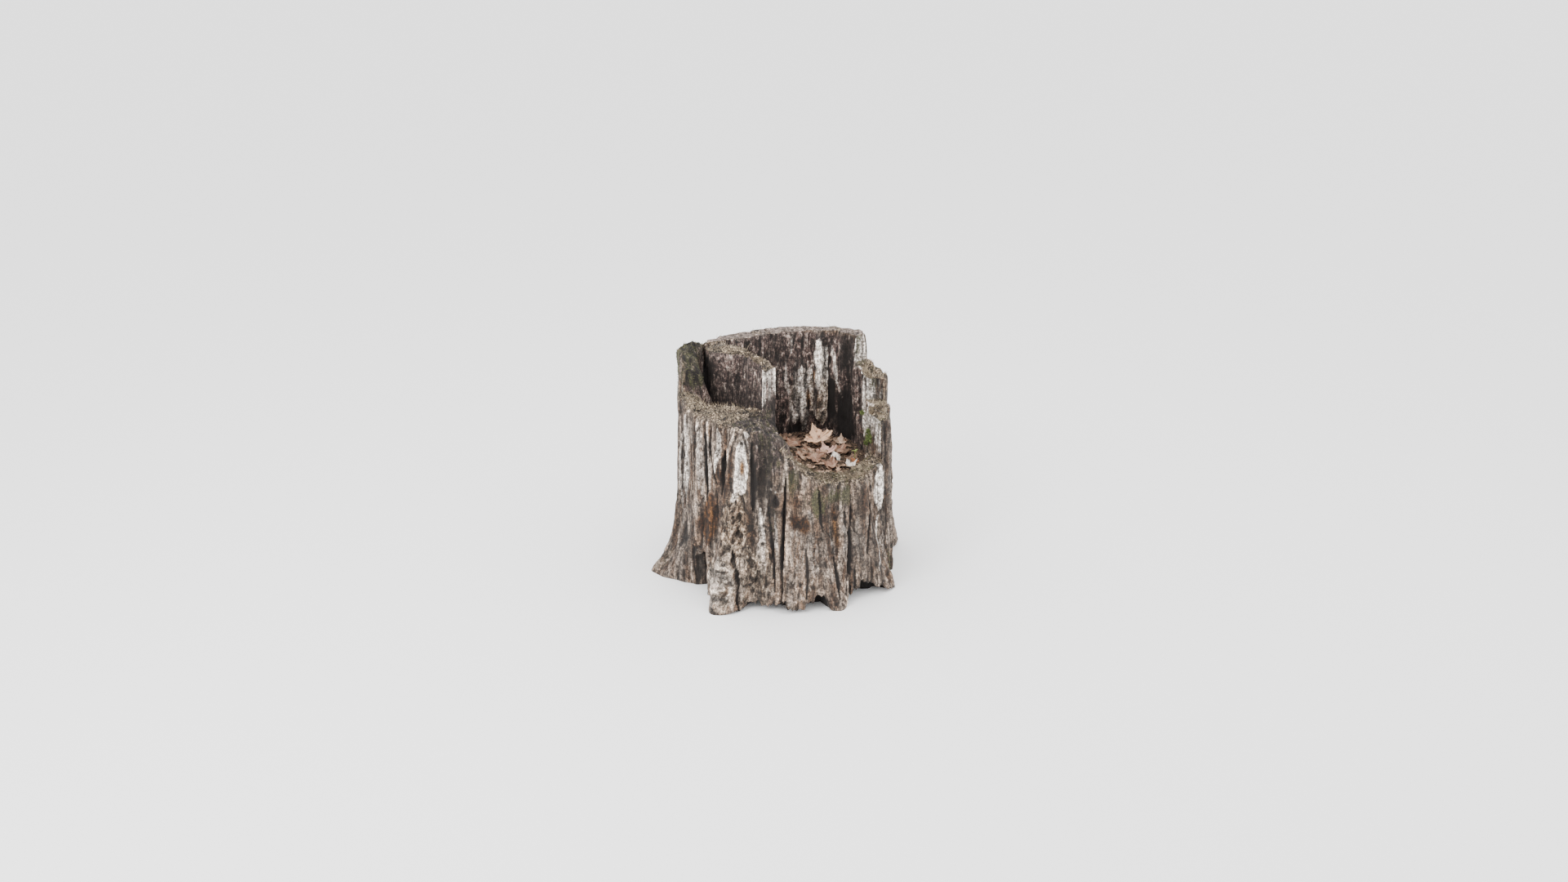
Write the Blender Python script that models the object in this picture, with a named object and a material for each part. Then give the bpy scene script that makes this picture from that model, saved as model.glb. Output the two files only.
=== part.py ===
"""Hollow, weathered tree stump, with humus, fallen leaves, twigs and a seedling in its heart.

Metres, +Z up. The origin is on the ground, under the middle of the trunk, and -Y is the front,
where the rim has broken away lowest. Angles are in degrees round the trunk from the front, and
positive towards +X. The wood is one solid: a ring of upright columns, each a line of points that
runs from under its foot, up the outside, over the broken top and down into the hollow.
"""

import math

import bmesh
import bpy
import numpy as np
from mathutils import Matrix, Vector
from mathutils.bvhtree import BVHTree

# Driving dimensions of the trunk.
HEIGHT = 0.90
SEAT_GAP = 0.0004
COLUMN_SPACING = 4.2
OUTER_ROWS = 14

# The hollow lies behind and to the right of the trunk's own axis.
HOLLOW_X = 0.08
HOLLOW_Y = 0.07
HOLLOW_FLOOR = 0.36
PLAIN_WALL_TOP = 0.455
HUMUS_LEVEL = 0.432

# Outline of the trunk at mid height: angle, radius.
TRUNK_OUTLINE = (
    (-180, 0.430), (-150, 0.434), (-130, 0.434), (-108, 0.430), (-90, 0.424), (-60, 0.440),
    (-30, 0.452), (0, 0.455), (30, 0.450), (60, 0.442), (90, 0.434), (110, 0.436),
    (125, 0.440), (140, 0.446), (155, 0.437),
)

# Outline of the hollow about its own centre: angle, radius.
HOLLOW_OUTLINE = (
    (-180, 0.284), (-164, 0.288), (-138, 0.318), (-124, 0.356), (-117, 0.362), (-112, 0.315),
    (-107, 0.268), (-98, 0.235), (-88, 0.216), (-67, 0.194), (-45, 0.204), (-30, 0.228),
    (-16.5, 0.282), (-3.5, 0.325), (13, 0.350), (33, 0.338), (56, 0.300), (75, 0.268),
    (108, 0.256), (124, 0.268), (140, 0.280), (166, 0.288),
)

# Height of the outer edge of the rim: angle, height. Two near angles make a broken step.
OUTER_EDGE = (
    (-180, 0.890), (-150, 0.878), (-125, 0.872), (-120.0, 0.868), (-118.5, 0.850), (-114, 0.886),
    (-106, 0.904), (-98, 0.896), (-92, 0.872), (-88.5, 0.830), (-87.2, 0.742), (-74, 0.734),
    (-60, 0.732), (-45, 0.728), (-32, 0.722), (-23, 0.724), (-15, 0.718), (-7, 0.686),
    (2, 0.622), (10, 0.548), (20, 0.504), (36, 0.488), (50, 0.496), (58, 0.506),
    (65.4, 0.520), (66.8, 0.672), (80, 0.690), (95.4, 0.680), (96.8, 0.776), (108, 0.792),
    (117, 0.798), (123.8, 0.806), (125.2, 0.912), (150, 0.906),
)

# Height of the inner edge of the rim.
INNER_EDGE = (
    (-180, 0.890), (-150, 0.880), (-124, 0.874), (-112, 0.876), (-98, 0.880), (-80, 0.884),
    (-60, 0.888), (-40, 0.888), (-31.8, 0.880), (-30.6, 0.684), (-24, 0.610), (-16.5, 0.556),
    (-4, 0.512), (12, 0.488), (33, 0.478), (50, 0.486), (64.8, 0.505),
    (66.0, 0.662), (82, 0.684), (95.4, 0.674), (96.8, 0.764), (110, 0.776), (123.8, 0.790),
    (125.2, 0.904), (150, 0.900),
)

# The left of the top is a wall within the wall: a ledge outside it, and the hollow behind.
LEDGE_FROM = -119.2
LEDGE_TO = -31.2
CREVICE_FLOOR = 0.60
LEDGE_WIDTH = (
    (-120, 0.050), (-85, 0.060), (-75, 0.075), (-66, 0.100), (-58, 0.160), (-50, 0.232),
    (-44, 0.256), (-40, 0.268), (-31, 0.275),
)
INNER_WALL_WIDTH = (
    (-122, 0.100), (-116, 0.090), (-110, 0.130), (-100, 0.142), (-93, 0.075), (-88, 0.040),
    (-80, 0.032), (-66, 0.038), (-50, 0.044), (-40, 0.056), (-31, 0.066),
)
SAG_FROM = -31.0
SAG_TO = -5.0

# Buttress roots: angle, half width in degrees, reach beyond the trunk, height that they fade over.
ROOTS = (
    (-76, 20, 0.105, 0.095), (-26, 13, 0.130, 0.140), (8, 45, 0.060, 0.160),
    (24, 6.5, 0.055, 0.090), (54, 16, 0.085, 0.130), (117, 20, 0.090, 0.160),
    (172, 19, 0.085, 0.150), (-140, 18, 0.105, 0.170),
)

# Broad furrows and plates: angle, half width, depth (minus stands out), lowest, highest.
FURROWS = (
    (-47.5, 7.0, 0.100, -0.20, 0.110), (-36, 5.0, 0.018, 0.180, 0.460),
    (-10, 6.5, 0.026, 0.300, 0.700), (-20, 7.0, 0.014, 0.120, 0.440),
    (12, 12.0, -0.012, 0.100, 0.440), (27, 3.0, 0.010, 0.080, 0.500),
    (46, 8.0, -0.010, 0.120, 0.460), (82, 5.0, 0.014, 0.040, 0.600),
    (140, 7.0, 0.014, 0.020, 0.700), (-172, 6.0, 0.014, 0.200, 0.800),
    (-120, 5.0, 0.020, 0.050, 0.700), (-70, 4.0, 0.010, 0.300, 0.680),
    (-100, 16.0, -0.014, 0.700, 1.000),
)

# Drying splits: angle, half width in degrees, depth, lowest, highest.
SPLITS = (
    (34.6, 1.0, 0.050, 0.055, 0.500), (-2.5, 0.9, 0.036, 0.020, 0.480),
    (-54.5, 1.0, 0.032, 0.220, 0.760), (-31, 0.9, 0.024, 0.460, 0.660),
    (-41, 0.8, 0.014, 0.440, 0.740), (60.5, 0.8, 0.022, 0.100, 0.490),
    (104, 1.0, 0.026, 0.100, 0.740), (-158, 1.0, 0.024, 0.080, 0.860),
    (-97, 0.9, 0.020, 0.160, 0.820), (158, 0.9, 0.020, 0.180, 0.860),
)

# The rotted hem, where the wood ends above the ground: angle, height, and how far it is eaten in.
HEM_HEIGHT = (
    (-180, 0.0), (-24, 0.0), (-20, 0.012), (-14, 0.030), (-8, 0.016), (-2.5, 0.044), (3, 0.020),
    (8, 0.016), (10.5, 0.044), (15, 0.058), (18.6, 0.050), (19.8, 0.0), (28, 0.0),
    (29.4, 0.040), (34, 0.055), (38, 0.055), (41, 0.085), (44, 0.060), (49, 0.045), (54, 0.020),
    (58, 0.0), (148, 0.0), (153, 0.030), (158, 0.048), (162, 0.022), (166, 0.0),
)
HEM_DEPTH = 0.090
PLAIN_DEPTH = 0.030

# Ribs and pockets on the wall of the hollow: angle, half width, depth (minus stands out), low, high.
HOLLOW_RIBS = (
    (165, 6.0, -0.040, 0.520, 0.845), (-178, 7.0, -0.028, 0.300, 0.725),
    (148, 8.0, 0.012, 0.500, 0.640), (122, 6.0, -0.014, 0.300, 0.760),
    (-150, 6.0, 0.012, 0.500, 0.860), (-128, 5.0, -0.016, 0.500, 0.840),
)

# Half the outline of a dry plane leaf, from its stalk round to the tip, in half widths.
LEAF_HALF = (
    (0.020, -0.62), (0.018, -0.31), (0.10, -0.35), (0.36, -0.46), (0.56, -0.40), (0.50, -0.22),
    (0.76, -0.17), (1.00, 0.08), (0.80, 0.14), (0.74, 0.32), (0.54, 0.25), (0.36, 0.30),
    (0.42, 0.50), (0.34, 0.60), (0.19, 0.68), (0.10, 0.86),
)
LEAF_TIP = (0.0, 1.04)
LEAF_HEART = (0.0, 0.05)
LEAF_THICKNESS = 0.0010

# Fallen leaves: name, x, y, half width, turn, tilt, curl, material.
LEAVES = (
    ("leaf_broad", 0.145, 0.172, 0.066, 24, 26, 0.020, "leaf_tan"),
    ("leaf_brown", 0.128, 0.036, 0.044, 196, 34, 0.014, "leaf_brown"),
    ("leaf_pale", 0.216, 0.048, 0.032, 118, 14, -0.012, "leaf_pale"),
    ("leaf_curled", 0.196, -0.048, 0.044, 80, 12, 0.018, "leaf_brown"),
    ("leaf_cream", 0.270, -0.050, 0.031, 300, 16, 0.012, "leaf_pale"),
    ("leaf_rust", 0.292, -0.006, 0.022, 140, 10, 0.010, "leaf_tan"),
    ("leaf_upright", 0.236, 0.212, 0.030, 350, 40, 0.014, "leaf_pale"),
    ("leaf_under", 0.075, 0.095, 0.052, 262, 6, 0.010, "leaf_brown"),
    ("leaf_hidden", 0.030, -0.040, 0.056, 60, 5, 0.012, "leaf_tan"),
    ("leaf_front", 0.150, -0.160, 0.058, 160, 5, -0.010, "leaf_brown"),
    ("leaf_back", -0.070, 0.215, 0.052, 330, 8, 0.014, "leaf_tan"),
    ("leaf_folded", 0.176, 0.112, 0.046, 20, 14, 0.016, "leaf_tan"),
    ("leaf_dark", 0.236, 0.128, 0.044, 250, 8, 0.012, "leaf_brown"),
    ("leaf_left", 0.040, 0.200, 0.048, 130, 10, 0.012, "leaf_pale"),
)

# Twigs: name, x, y, length, turn, thickness.
TWIGS = (
    ("twig_pale", 0.205, 0.235, 0.110, 24, 0.0055),
    ("twig_dark", 0.060, 0.110, 0.150, -32, 0.0065),
)
TWIG_SIDES = 6
TWIG_BEND = 0.008

# The seedling stands in a hole in the humus.
SPROUT_X = 0.292
SPROUT_Y = 0.040
SPROUT_DEPTH = 0.020
SPROUT_RISE = 0.034
SPROUT_RADIUS = 0.0022
SPROUT_LEAF = 0.017
HOLE_GAP = 0.0004

MATERIALS = {
    "weathered_wood": ((0.33, 0.29, 0.25), 0.90),
    "humus": ((0.10, 0.07, 0.05), 0.95),
    "leaf_tan": ((0.56, 0.36, 0.23), 0.75),
    "leaf_brown": ((0.30, 0.17, 0.10), 0.80),
    "leaf_pale": ((0.62, 0.56, 0.50), 0.80),
    "twig_bark": ((0.34, 0.29, 0.24), 0.85),
    "seedling_green": ((0.22, 0.38, 0.08), 0.60),
}


def turn(angle):
    """Unit vector in plan at an angle round the trunk."""
    radians = math.radians(angle)
    return Vector((math.sin(radians), -math.cos(radians), 0.0))


def wrapped(angle):
    """The same angle, from -180 up to 180."""
    return (angle + 180.0) % 360.0 - 180.0


def smooth(value):
    """Eases 0 to 1."""
    value = min(1.0, max(0.0, value))
    return value * value * (3.0 - 2.0 * value)


def around(table, angle):
    """Straight interpolation round a closed table of (angle, value)."""
    angles = [row[0] for row in table]
    values = [row[1] for row in table]
    return float(np.interp(wrapped(angle), angles, values, period=360.0))


def curve_around(table, angle):
    """A smooth closed curve through a table of (angle, value)."""
    angle = wrapped(angle)
    count = len(table)
    after = sum(1 for row in table if row[0] <= angle) % count
    knots = []
    for step in (-2, -1, 0, 1):
        index = (after + step) % count
        knots.append((wrapped(table[index][0] - angle), table[index][1]))
    (_, a), (start, b), (end, c), (_, d) = knots
    share = -start / (end - start)
    return 0.5 * (
        2 * b + (c - a) * share + (2 * a - 5 * b + 4 * c - d) * share**2
        + (3 * b - a - 3 * c + d) * share**3
    )


def bump(offset, half_width):
    """1 at the middle of a feature, and 0 at its half width and beyond."""
    return smooth(1.0 - abs(offset) / half_width)


def between(value, low, high, fade):
    """1 between two heights, fading to 0 over a short way beyond them."""
    return smooth((value - low + fade) / fade) * smooth((high + fade - value) / fade)


def relief(table, angle, z, fade):
    """Depth of the furrows, ribs or splits of a table at a place."""
    depth = 0.0
    for middle, half_width, deep, low, high in table:
        depth += deep * bump(wrapped(angle - middle), half_width) * between(z, low, high, fade)
    return depth


def staves(angle, z):
    """The long upright ridges of weathered wood."""
    a = math.radians(angle)
    return (
        0.0060 * math.sin(23 * a + 1.3 + 3.0 * z)
        + 0.0048 * math.sin(37 * a + 2.1 - 4.0 * z)
        + 0.0050 * math.sin(9 * a + 0.7 + 5.0 * z)
    )


def trunk_radius(angle, z):
    """Radius of the outside of the trunk."""
    taper = 1.03 - 0.06 * smooth(z / HEIGHT)
    radius = curve_around(TRUNK_OUTLINE, angle) * taper
    for middle, half_width, reach, fades_over in ROOTS:
        spread = half_width * (1.0 + 0.35 * z / fades_over)
        radius += reach * bump(wrapped(angle - middle), spread) * math.exp(-((z / fades_over) ** 1.3))
    radius -= relief(FURROWS, angle, z, 0.09)
    radius -= relief(SPLITS, angle, z, 0.05)
    return radius + staves(angle, z)


def hollow_radius(angle, z):
    """Radius of the hollow about its own centre. Below the humus it is upright."""
    radius = curve_around(HOLLOW_OUTLINE, angle)
    above = smooth((z - PLAIN_WALL_TOP) / 0.06)
    a = math.radians(angle)
    ripple = 0.0045 * math.sin(17 * a + 1.1 + 6 * z) + 0.0040 * math.sin(31 * a + 0.4 - 5 * z)
    return radius + above * (relief(HOLLOW_RIBS, angle, z, 0.05) + ripple)


def outer_point(angle, z, inset=0.0):
    """A place on the outside of the trunk, or a little way in from it."""
    lean = 1.6 * math.sin(math.radians(2 * angle + 40)) * (0.45 - z)
    place = turn(angle + lean) * (trunk_radius(angle, z) - inset)
    place.z = z
    return place


def hollow_point(angle, z, share=1.0, inset=0.0):
    """A place on the wall of the hollow, or at a share of the way out to it."""
    radius = (hollow_radius(angle, z) - inset) * share
    place = Vector((HOLLOW_X, HOLLOW_Y, 0.0)) + turn(angle) * radius
    place.z = z
    return place


def column_angles():
    """Even spacing, with extra columns at each broken step and at each split."""
    kept = []
    for table in (OUTER_EDGE, INNER_EDGE):
        for (low, low_value), (high, high_value) in zip(table, table[1:]):
            if high - low < 2.0 and abs(high_value - low_value) > 0.03:
                kept += [low, high]
    kept += [LEDGE_FROM - 0.5, LEDGE_FROM + 0.5, LEDGE_TO - 0.6, LEDGE_TO + 0.6]
    for middle, half_width, _, _, _ in SPLITS:
        kept += [middle - half_width, middle, middle + half_width]
    for (low, low_value), (high, high_value) in zip(HEM_HEIGHT, HEM_HEIGHT[1:]):
        if high - low < 2.0 and abs(high_value - low_value) > 0.03:
            kept += [low, high]
    angles = []
    for angle in sorted(wrapped(a) for a in kept):
        if not angles or angle - angles[-1] > 0.7:
            angles.append(angle)
    for angle in np.arange(-180.0, 180.0, COLUMN_SPACING):
        if min(abs(wrapped(angle - other)) for other in kept) > 0.45 * COLUMN_SPACING:
            angles.append(float(angle))
    return sorted(angles)


def foot_points(angle):
    """The hem: flat under a sound foot, or hollowed up behind a rotted edge."""
    edge = around(HEM_HEIGHT, angle)
    eaten = smooth(edge / 0.02)
    depth = PLAIN_DEPTH + (HEM_DEPTH - PLAIN_DEPTH) * eaten
    roof = edge * 1.25
    return [
        outer_point(angle, 0.0, depth),
        outer_point(angle, roof, depth * 0.86),
        outer_point(angle, roof * 1.1, depth * 0.40),
    ]


def outer_wall(angle):
    """From the hem to the outer edge of the rim, a little rounded at the top."""
    low = around(HEM_HEIGHT, angle)
    high = around(OUTER_EDGE, angle)
    points = []
    for row in range(OUTER_ROWS):
        share = row / (OUTER_ROWS - 1)
        share = share + 0.10 * math.sin(2 * math.pi * share) / math.pi
        inset = 0.007 if row == OUTER_ROWS - 1 else 0.0
        points.append(outer_point(angle, low + (high - low) * share, inset))
    return points


def top_unevenness(angle, along):
    """Broken wood is lumpy, and the sawn back of the rim nearly flat."""
    sawn = 1.0 if abs(wrapped(angle - 178)) < 52 else 0.0
    size = 0.0015 if sawn else 0.006
    a = math.radians(angle)
    return size * (math.sin(17 * a + 11 * along) + math.sin(11 * a - 9 * along + 2.0))


def plain_top(angle, start, end):
    """Across a rim with no step in it."""
    power = 2.4 if SAG_FROM <= angle <= SAG_TO else 1.0
    points = []
    for step in range(1, 9):
        share = step / 9.0
        place = start.lerp(end, share)
        place.z = start.z + (end.z - start.z) * share**power
        place.z += top_unevenness(angle, share)
        points.append(place)
    return points


def stepped_top(angle, start, end):
    """Across the left side: the spire or ledge, a crevice, and the inner wall behind it."""
    length = (end - start).length
    width = around(INNER_WALL_WIDTH, angle)
    riser = length - width
    ledge = min(around(LEDGE_WIDTH, angle), riser - 0.024)
    gap = riser - ledge
    deep = smooth(gap / 0.06)
    crevice = CREVICE_FLOOR * deep + (start.z - 0.03) * (1.0 - deep)
    shoulder = 0.5 * (start.z + crevice)
    profile = (
        (0.35 * ledge, start.z + 0.002),
        (0.80 * ledge, start.z - 0.002),
        (ledge, start.z - 0.012),
        (ledge + 0.22 * gap, shoulder),
        (ledge + 0.55 * gap, crevice),
        (riser - 0.10 * gap, crevice + 0.02),
        (riser, end.z - 0.006),
        (riser + 0.5 * width, end.z + 0.002),
    )
    points = []
    for along, z in profile:
        place = start.lerp(end, along / length)
        place.z = z + top_unevenness(angle, along / length)
        points.append(place)
    return points


def top_points(angle, start):
    """Everything between the outer edge and the inner edge of the rim."""
    end = hollow_point(angle, around(INNER_EDGE, angle))
    stepped = LEDGE_FROM < angle < LEDGE_TO
    points = stepped_top(angle, start, end) if stepped else plain_top(angle, start, end)
    return points + [end]


def inner_wall(angle, top):
    """Down the wall of the hollow. Below the last but one row it is upright, for the humus."""
    points = []
    for share in (0.05, 0.20, 0.36, 0.52, 0.68, 0.84, 1.0):
        z = top + (PLAIN_WALL_TOP - top) * share
        points.append(hollow_point(angle, z))
    return points + [hollow_point(angle, HOLLOW_FLOOR)]


def wood_column(angle):
    """One column of the trunk, from under its foot round to the floor of the hollow."""
    points = foot_points(angle) + outer_wall(angle)
    points += top_points(angle, points[-1])
    return points + inner_wall(angle, points[-1].z)


def skin_columns(bm, columns):
    """Joins neighbouring columns of vertices with faces, all the way round."""
    for index, column in enumerate(columns):
        following = columns[(index + 1) % len(columns)]
        for row in range(len(column) - 1):
            bm.faces.new((column[row], following[row], following[row + 1], column[row + 1]))


def close_ring(bm, ring, middle):
    """A fan of faces from a closed ring of vertices to a middle point."""
    centre = bm.verts.new(middle)
    for index, vertex in enumerate(ring):
        bm.faces.new((vertex, ring[(index + 1) % len(ring)], centre))


def material_named(name):
    """A plain Principled material, made once."""
    found = bpy.data.materials.get(name)
    if found:
        return found
    colour, roughness = MATERIALS[name]
    material = bpy.data.materials.new(name)
    material.use_nodes = True
    shader = material.node_tree.nodes["Principled BSDF"]
    shader.inputs["Base Color"].default_value = (*colour, 1.0)
    shader.inputs["Roughness"].default_value = roughness
    shader.inputs["Metallic"].default_value = 0.0
    return material


def finish_object(name, bm, material, smooth_angle=50.0):
    """Turns a bmesh into a named object, with its faces pointing out."""
    bmesh.ops.recalc_face_normals(bm, faces=bm.faces)
    if bm.calc_volume(signed=True) < 0:
        bmesh.ops.reverse_faces(bm, faces=bm.faces)
    mesh = bpy.data.meshes.new(name)
    bm.to_mesh(mesh)
    bm.free()
    mesh.materials.append(material_named(material))
    mesh.shade_smooth()
    mesh.set_sharp_from_angle(angle=math.radians(smooth_angle))
    made = bpy.data.objects.new(name, mesh)
    bpy.context.scene.collection.objects.link(made)
    return made


def build_wood(angles):
    """The trunk, in one piece."""
    bm = bmesh.new()
    columns = [[bm.verts.new(place) for place in wood_column(angle)] for angle in angles]
    skin_columns(bm, columns)
    close_ring(bm, [column[0] for column in columns], (0.0, 0.0, 0.0))
    close_ring(bm, [column[-1] for column in columns], (HOLLOW_X, HOLLOW_Y, HOLLOW_FLOOR))
    return finish_object("stump_wood", bm, "weathered_wood")


def humus_height(angle, share):
    """The lumpy top of the humus, a little higher at the back."""
    a = math.radians(angle)
    x = share * math.sin(a)
    y = -share * math.cos(a)
    lumps = math.sin(7.3 * x + 1.0) * math.cos(6.1 * y - 0.5) + 0.6 * math.sin(15.0 * x - 9.0 * y)
    return HUMUS_LEVEL + 0.005 * y + 0.0035 * lumps


def humus_column(angle):
    """One column of the humus, from the floor of the hollow up its wall and in over its top."""
    points = [hollow_point(angle, HOLLOW_FLOOR + SEAT_GAP, 1.0, SEAT_GAP)]
    for share in (1.0, 0.80, 0.56, 0.30):
        place = hollow_point(angle, HUMUS_LEVEL, share, SEAT_GAP)
        place.z = humus_height(angle, share)
        points.append(place)
    return points


def cut_hole(target, x, y, radius, depth):
    """Bores a plain round hole, down from above."""
    bm = bmesh.new()
    bmesh.ops.create_cone(
        bm, cap_ends=True, segments=8, radius1=radius, radius2=radius, depth=2 * depth,
        matrix=Matrix.Translation((x, y, humus_top(target, x, y))),
    )
    cutter = finish_object("hole_cutter", bm, "humus")
    modifier = target.modifiers.new("hole", "BOOLEAN")
    modifier.operation = "DIFFERENCE"
    modifier.solver = "EXACT"
    modifier.object = cutter
    depsgraph = bpy.context.evaluated_depsgraph_get()
    cut = bpy.data.meshes.new_from_object(target.evaluated_get(depsgraph))
    target.modifiers.clear()
    target.data = cut
    bpy.data.objects.remove(cutter)


def humus_top(target, x, y):
    """Height of an object's upper surface over a place."""
    tree = tree_of([target])
    hit = tree.ray_cast(Vector((x, y, HEIGHT)), Vector((0.0, 0.0, -1.0)))
    return hit[0].z


def build_humus(angles):
    """The bed of rotted wood and soil that fills the bottom of the hollow."""
    bm = bmesh.new()
    columns = [[bm.verts.new(place) for place in humus_column(angle)] for angle in angles]
    skin_columns(bm, columns)
    base = (HOLLOW_X, HOLLOW_Y, HOLLOW_FLOOR + SEAT_GAP)
    close_ring(bm, [column[0] for column in columns], base)
    crown = (HOLLOW_X, HOLLOW_Y, humus_height(0.0, 0.0))
    close_ring(bm, [column[-1] for column in columns], crown)
    return finish_object("humus", bm, "humus")


def tree_of(objects):
    """One search tree of the triangles of several objects."""
    points = []
    faces = []
    for each in objects:
        first = len(points)
        points += [vertex.co.copy() for vertex in each.data.vertices]
        each.data.calc_loop_triangles()
        for triangle in each.data.loop_triangles:
            faces.append([first + index for index in triangle.vertices])
    return BVHTree.FromPolygons(points, faces)


def edge_points(each, spacing=0.0012):
    """Points along every edge of an object."""
    vertices = each.data.vertices
    found = []
    for edge in each.data.edges:
        start = vertices[edge.vertices[0]].co
        end = vertices[edge.vertices[1]].co
        count = max(1, int((end - start).length / spacing))
        found += [start.lerp(end, step / count) for step in range(count + 1)]
    return found


def settle(each, below):
    """Lowers an object until it all but touches what lies under it."""
    tree = tree_of(below)
    own_tree = tree_of([each])
    down = Vector((0.0, 0.0, -1.0))
    own_points = edge_points(each)
    clear = []
    for place in own_points:
        hit = tree.ray_cast(place, down)
        if hit[0] is not None:
            clear.append(hit[3])
    low = [min(place[axis] for place in own_points) for axis in (0, 1)]
    high = [max(place[axis] for place in own_points) for axis in (0, 1)]
    for other in below:
        if other.name == "stump_wood":
            continue
        for place in edge_points(other, 0.002):
            if low[0] < place.x < high[0] and low[1] < place.y < high[1]:
                hit = own_tree.ray_cast(place, -down)
                if hit[0] is not None:
                    clear.append(hit[3])
    drop = min(clear) - SEAT_GAP
    each.data.transform(Matrix.Translation((0.0, 0.0, -drop)))


def leaf_lift(x, y, curl):
    """How a dry leaf cups and folds along its ribs, in half widths."""
    angle = math.atan2(x, y - LEAF_HEART[1])
    reach = x * x + (y - LEAF_HEART[1]) ** 2
    return curl * reach * (1.0 + 0.45 * math.cos(5.0 * angle)) + 0.35 * curl * x * y


def build_leaf(name, x, y, size, turned, tilt, curl, material):
    """A dry lobed leaf with a stalk. Its two sides are split into triangles alike."""
    half = list(LEAF_HALF)
    outline = half + [LEAF_TIP] + [(-px, py) for px, py in reversed(half)]
    bm = bmesh.new()
    sides = []
    for lift in (0.0, LEAF_THICKNESS):
        rings = []
        for share in (1.0, 0.5):
            ring = []
            for px, py in outline:
                px = LEAF_HEART[0] + (px - LEAF_HEART[0]) * share
                py = LEAF_HEART[1] + (py - LEAF_HEART[1]) * share
                z = leaf_lift(px, py, curl) + lift
                ring.append(bm.verts.new((px * size, py * size, z)))
            rings.append(ring)
        heart = bm.verts.new((LEAF_HEART[0] * size, LEAF_HEART[1] * size, lift))
        sides.append((rings, heart))
    for rings, heart in sides:
        outer, inner = rings
        for index in range(len(outline)):
            following = (index + 1) % len(outline)
            bm.faces.new((outer[index], outer[following], inner[following]))
            bm.faces.new((outer[index], inner[following], inner[index]))
            bm.faces.new((inner[index], inner[following], heart))
    under = sides[0][0][0]
    over = sides[1][0][0]
    for index in range(len(outline)):
        following = (index + 1) % len(outline)
        bm.faces.new((under[index], under[following], over[following]))
        bm.faces.new((under[index], over[following], over[index]))
    place = Matrix.Translation((x, y, HEIGHT))
    place = place @ Matrix.Rotation(math.radians(tilt), 4, "X")
    place = place @ Matrix.Rotation(math.radians(turned), 4, "Z")
    bm.transform(place)
    return finish_object(name, bm, material, 180.0)


def build_tube(bm, path, radii, sides):
    """A closed tube along a path."""
    rings = []
    for index, place in enumerate(path):
        before = path[max(0, index - 1)]
        after = path[min(len(path) - 1, index + 1)]
        along = (after - before).normalized()
        across = along.cross(Vector((0.0, 0.1, 1.0))).normalized()
        if across.length < 0.5:
            across = Vector((1.0, 0.0, 0.0))
        upward = across.cross(along)
        ring = []
        for side in range(sides):
            turned = 2 * math.pi * side / sides
            offset = across * math.cos(turned) + upward * math.sin(turned)
            ring.append(bm.verts.new(place + offset * radii[index]))
        rings.append(ring)
    for low, high in zip(rings, rings[1:]):
        for side in range(sides):
            following = (side + 1) % sides
            bm.faces.new((low[side], low[following], high[following], high[side]))
    bm.faces.new(rings[0])
    bm.faces.new(list(reversed(rings[-1])))


def build_twig(name, x, y, length, turned, thickness):
    """A short bent twig that tapers to one end."""
    bm = bmesh.new()
    path = []
    radii = []
    for step in range(7):
        share = step / 6.0
        along = (share - 0.5) * length
        path.append(Vector((along, TWIG_BEND * math.sin(5.0 * share), 0.4 * TWIG_BEND * share**2)))
        radii.append(thickness * (0.5 - 0.22 * share))
    build_tube(bm, path, radii, TWIG_SIDES)
    place = Matrix.Translation((x, y, HEIGHT)) @ Matrix.Rotation(math.radians(turned), 4, "Z")
    bm.transform(place)
    return finish_object(name, bm, "twig_bark")


def add_blade(bm, foot, turned, length, rise):
    """An oval seed leaf, thick enough to stand, with its root inside the stem."""
    outline = ((0.0, 0.07), (0.25, 0.20), (0.55, 0.27), (0.82, 0.18), (1.0, 0.0))
    outline = outline + tuple((u, -v) for u, v in reversed(outline[:-1]))
    ahead = Vector((math.cos(turned), math.sin(turned), 0.0))
    across = Vector((-math.sin(turned), math.cos(turned), 0.0))
    sheets = []
    for lift in (0.0, LEAF_THICKNESS):
        sheet = []
        for u, v in outline:
            z = rise * math.sin(2.2 * u) + lift
            place = foot + ahead * (u * length) + across * (v * length)
            sheet.append(bm.verts.new(place + Vector((0.0, 0.0, z))))
        sheets.append(sheet)
    under, over = sheets
    last = len(outline)
    for index in range(1, last - 1):
        bm.faces.new((under[0], under[index], under[index + 1]))
        bm.faces.new((over[0], over[index], over[index + 1]))
    for index in range(last):
        following = (index + 1) % last
        bm.faces.new((under[index], under[following], over[following]))
        bm.faces.new((under[index], over[following], over[index]))


def build_sprout(humus):
    """A seedling: a stem in its hole, and four small leaves fused to its head."""
    ground = humus_top(humus, SPROUT_X + 0.012, SPROUT_Y)
    foot = Vector((SPROUT_X, SPROUT_Y, ground - SPROUT_DEPTH + SEAT_GAP))
    head = Vector((SPROUT_X, SPROUT_Y, ground + SPROUT_RISE))
    pieces = []
    bm = bmesh.new()
    build_tube(bm, [foot, foot.lerp(head, 0.5), head], [SPROUT_RADIUS] * 3, 8)
    pieces.append(finish_object("sprout_stem", bm, "seedling_green"))
    for index in range(4):
        bm = bmesh.new()
        below = Vector((0.0, 0.0, -0.003 - 0.004 * (index % 2)))
        turned = math.radians(35 + 90 * index)
        add_blade(bm, head + below, turned, SPROUT_LEAF * (1.0 - 0.25 * (index % 2)), 0.006)
        pieces.append(finish_object("sprout_leaf", bm, "seedling_green"))
    return fuse(pieces, "seedling")


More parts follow.
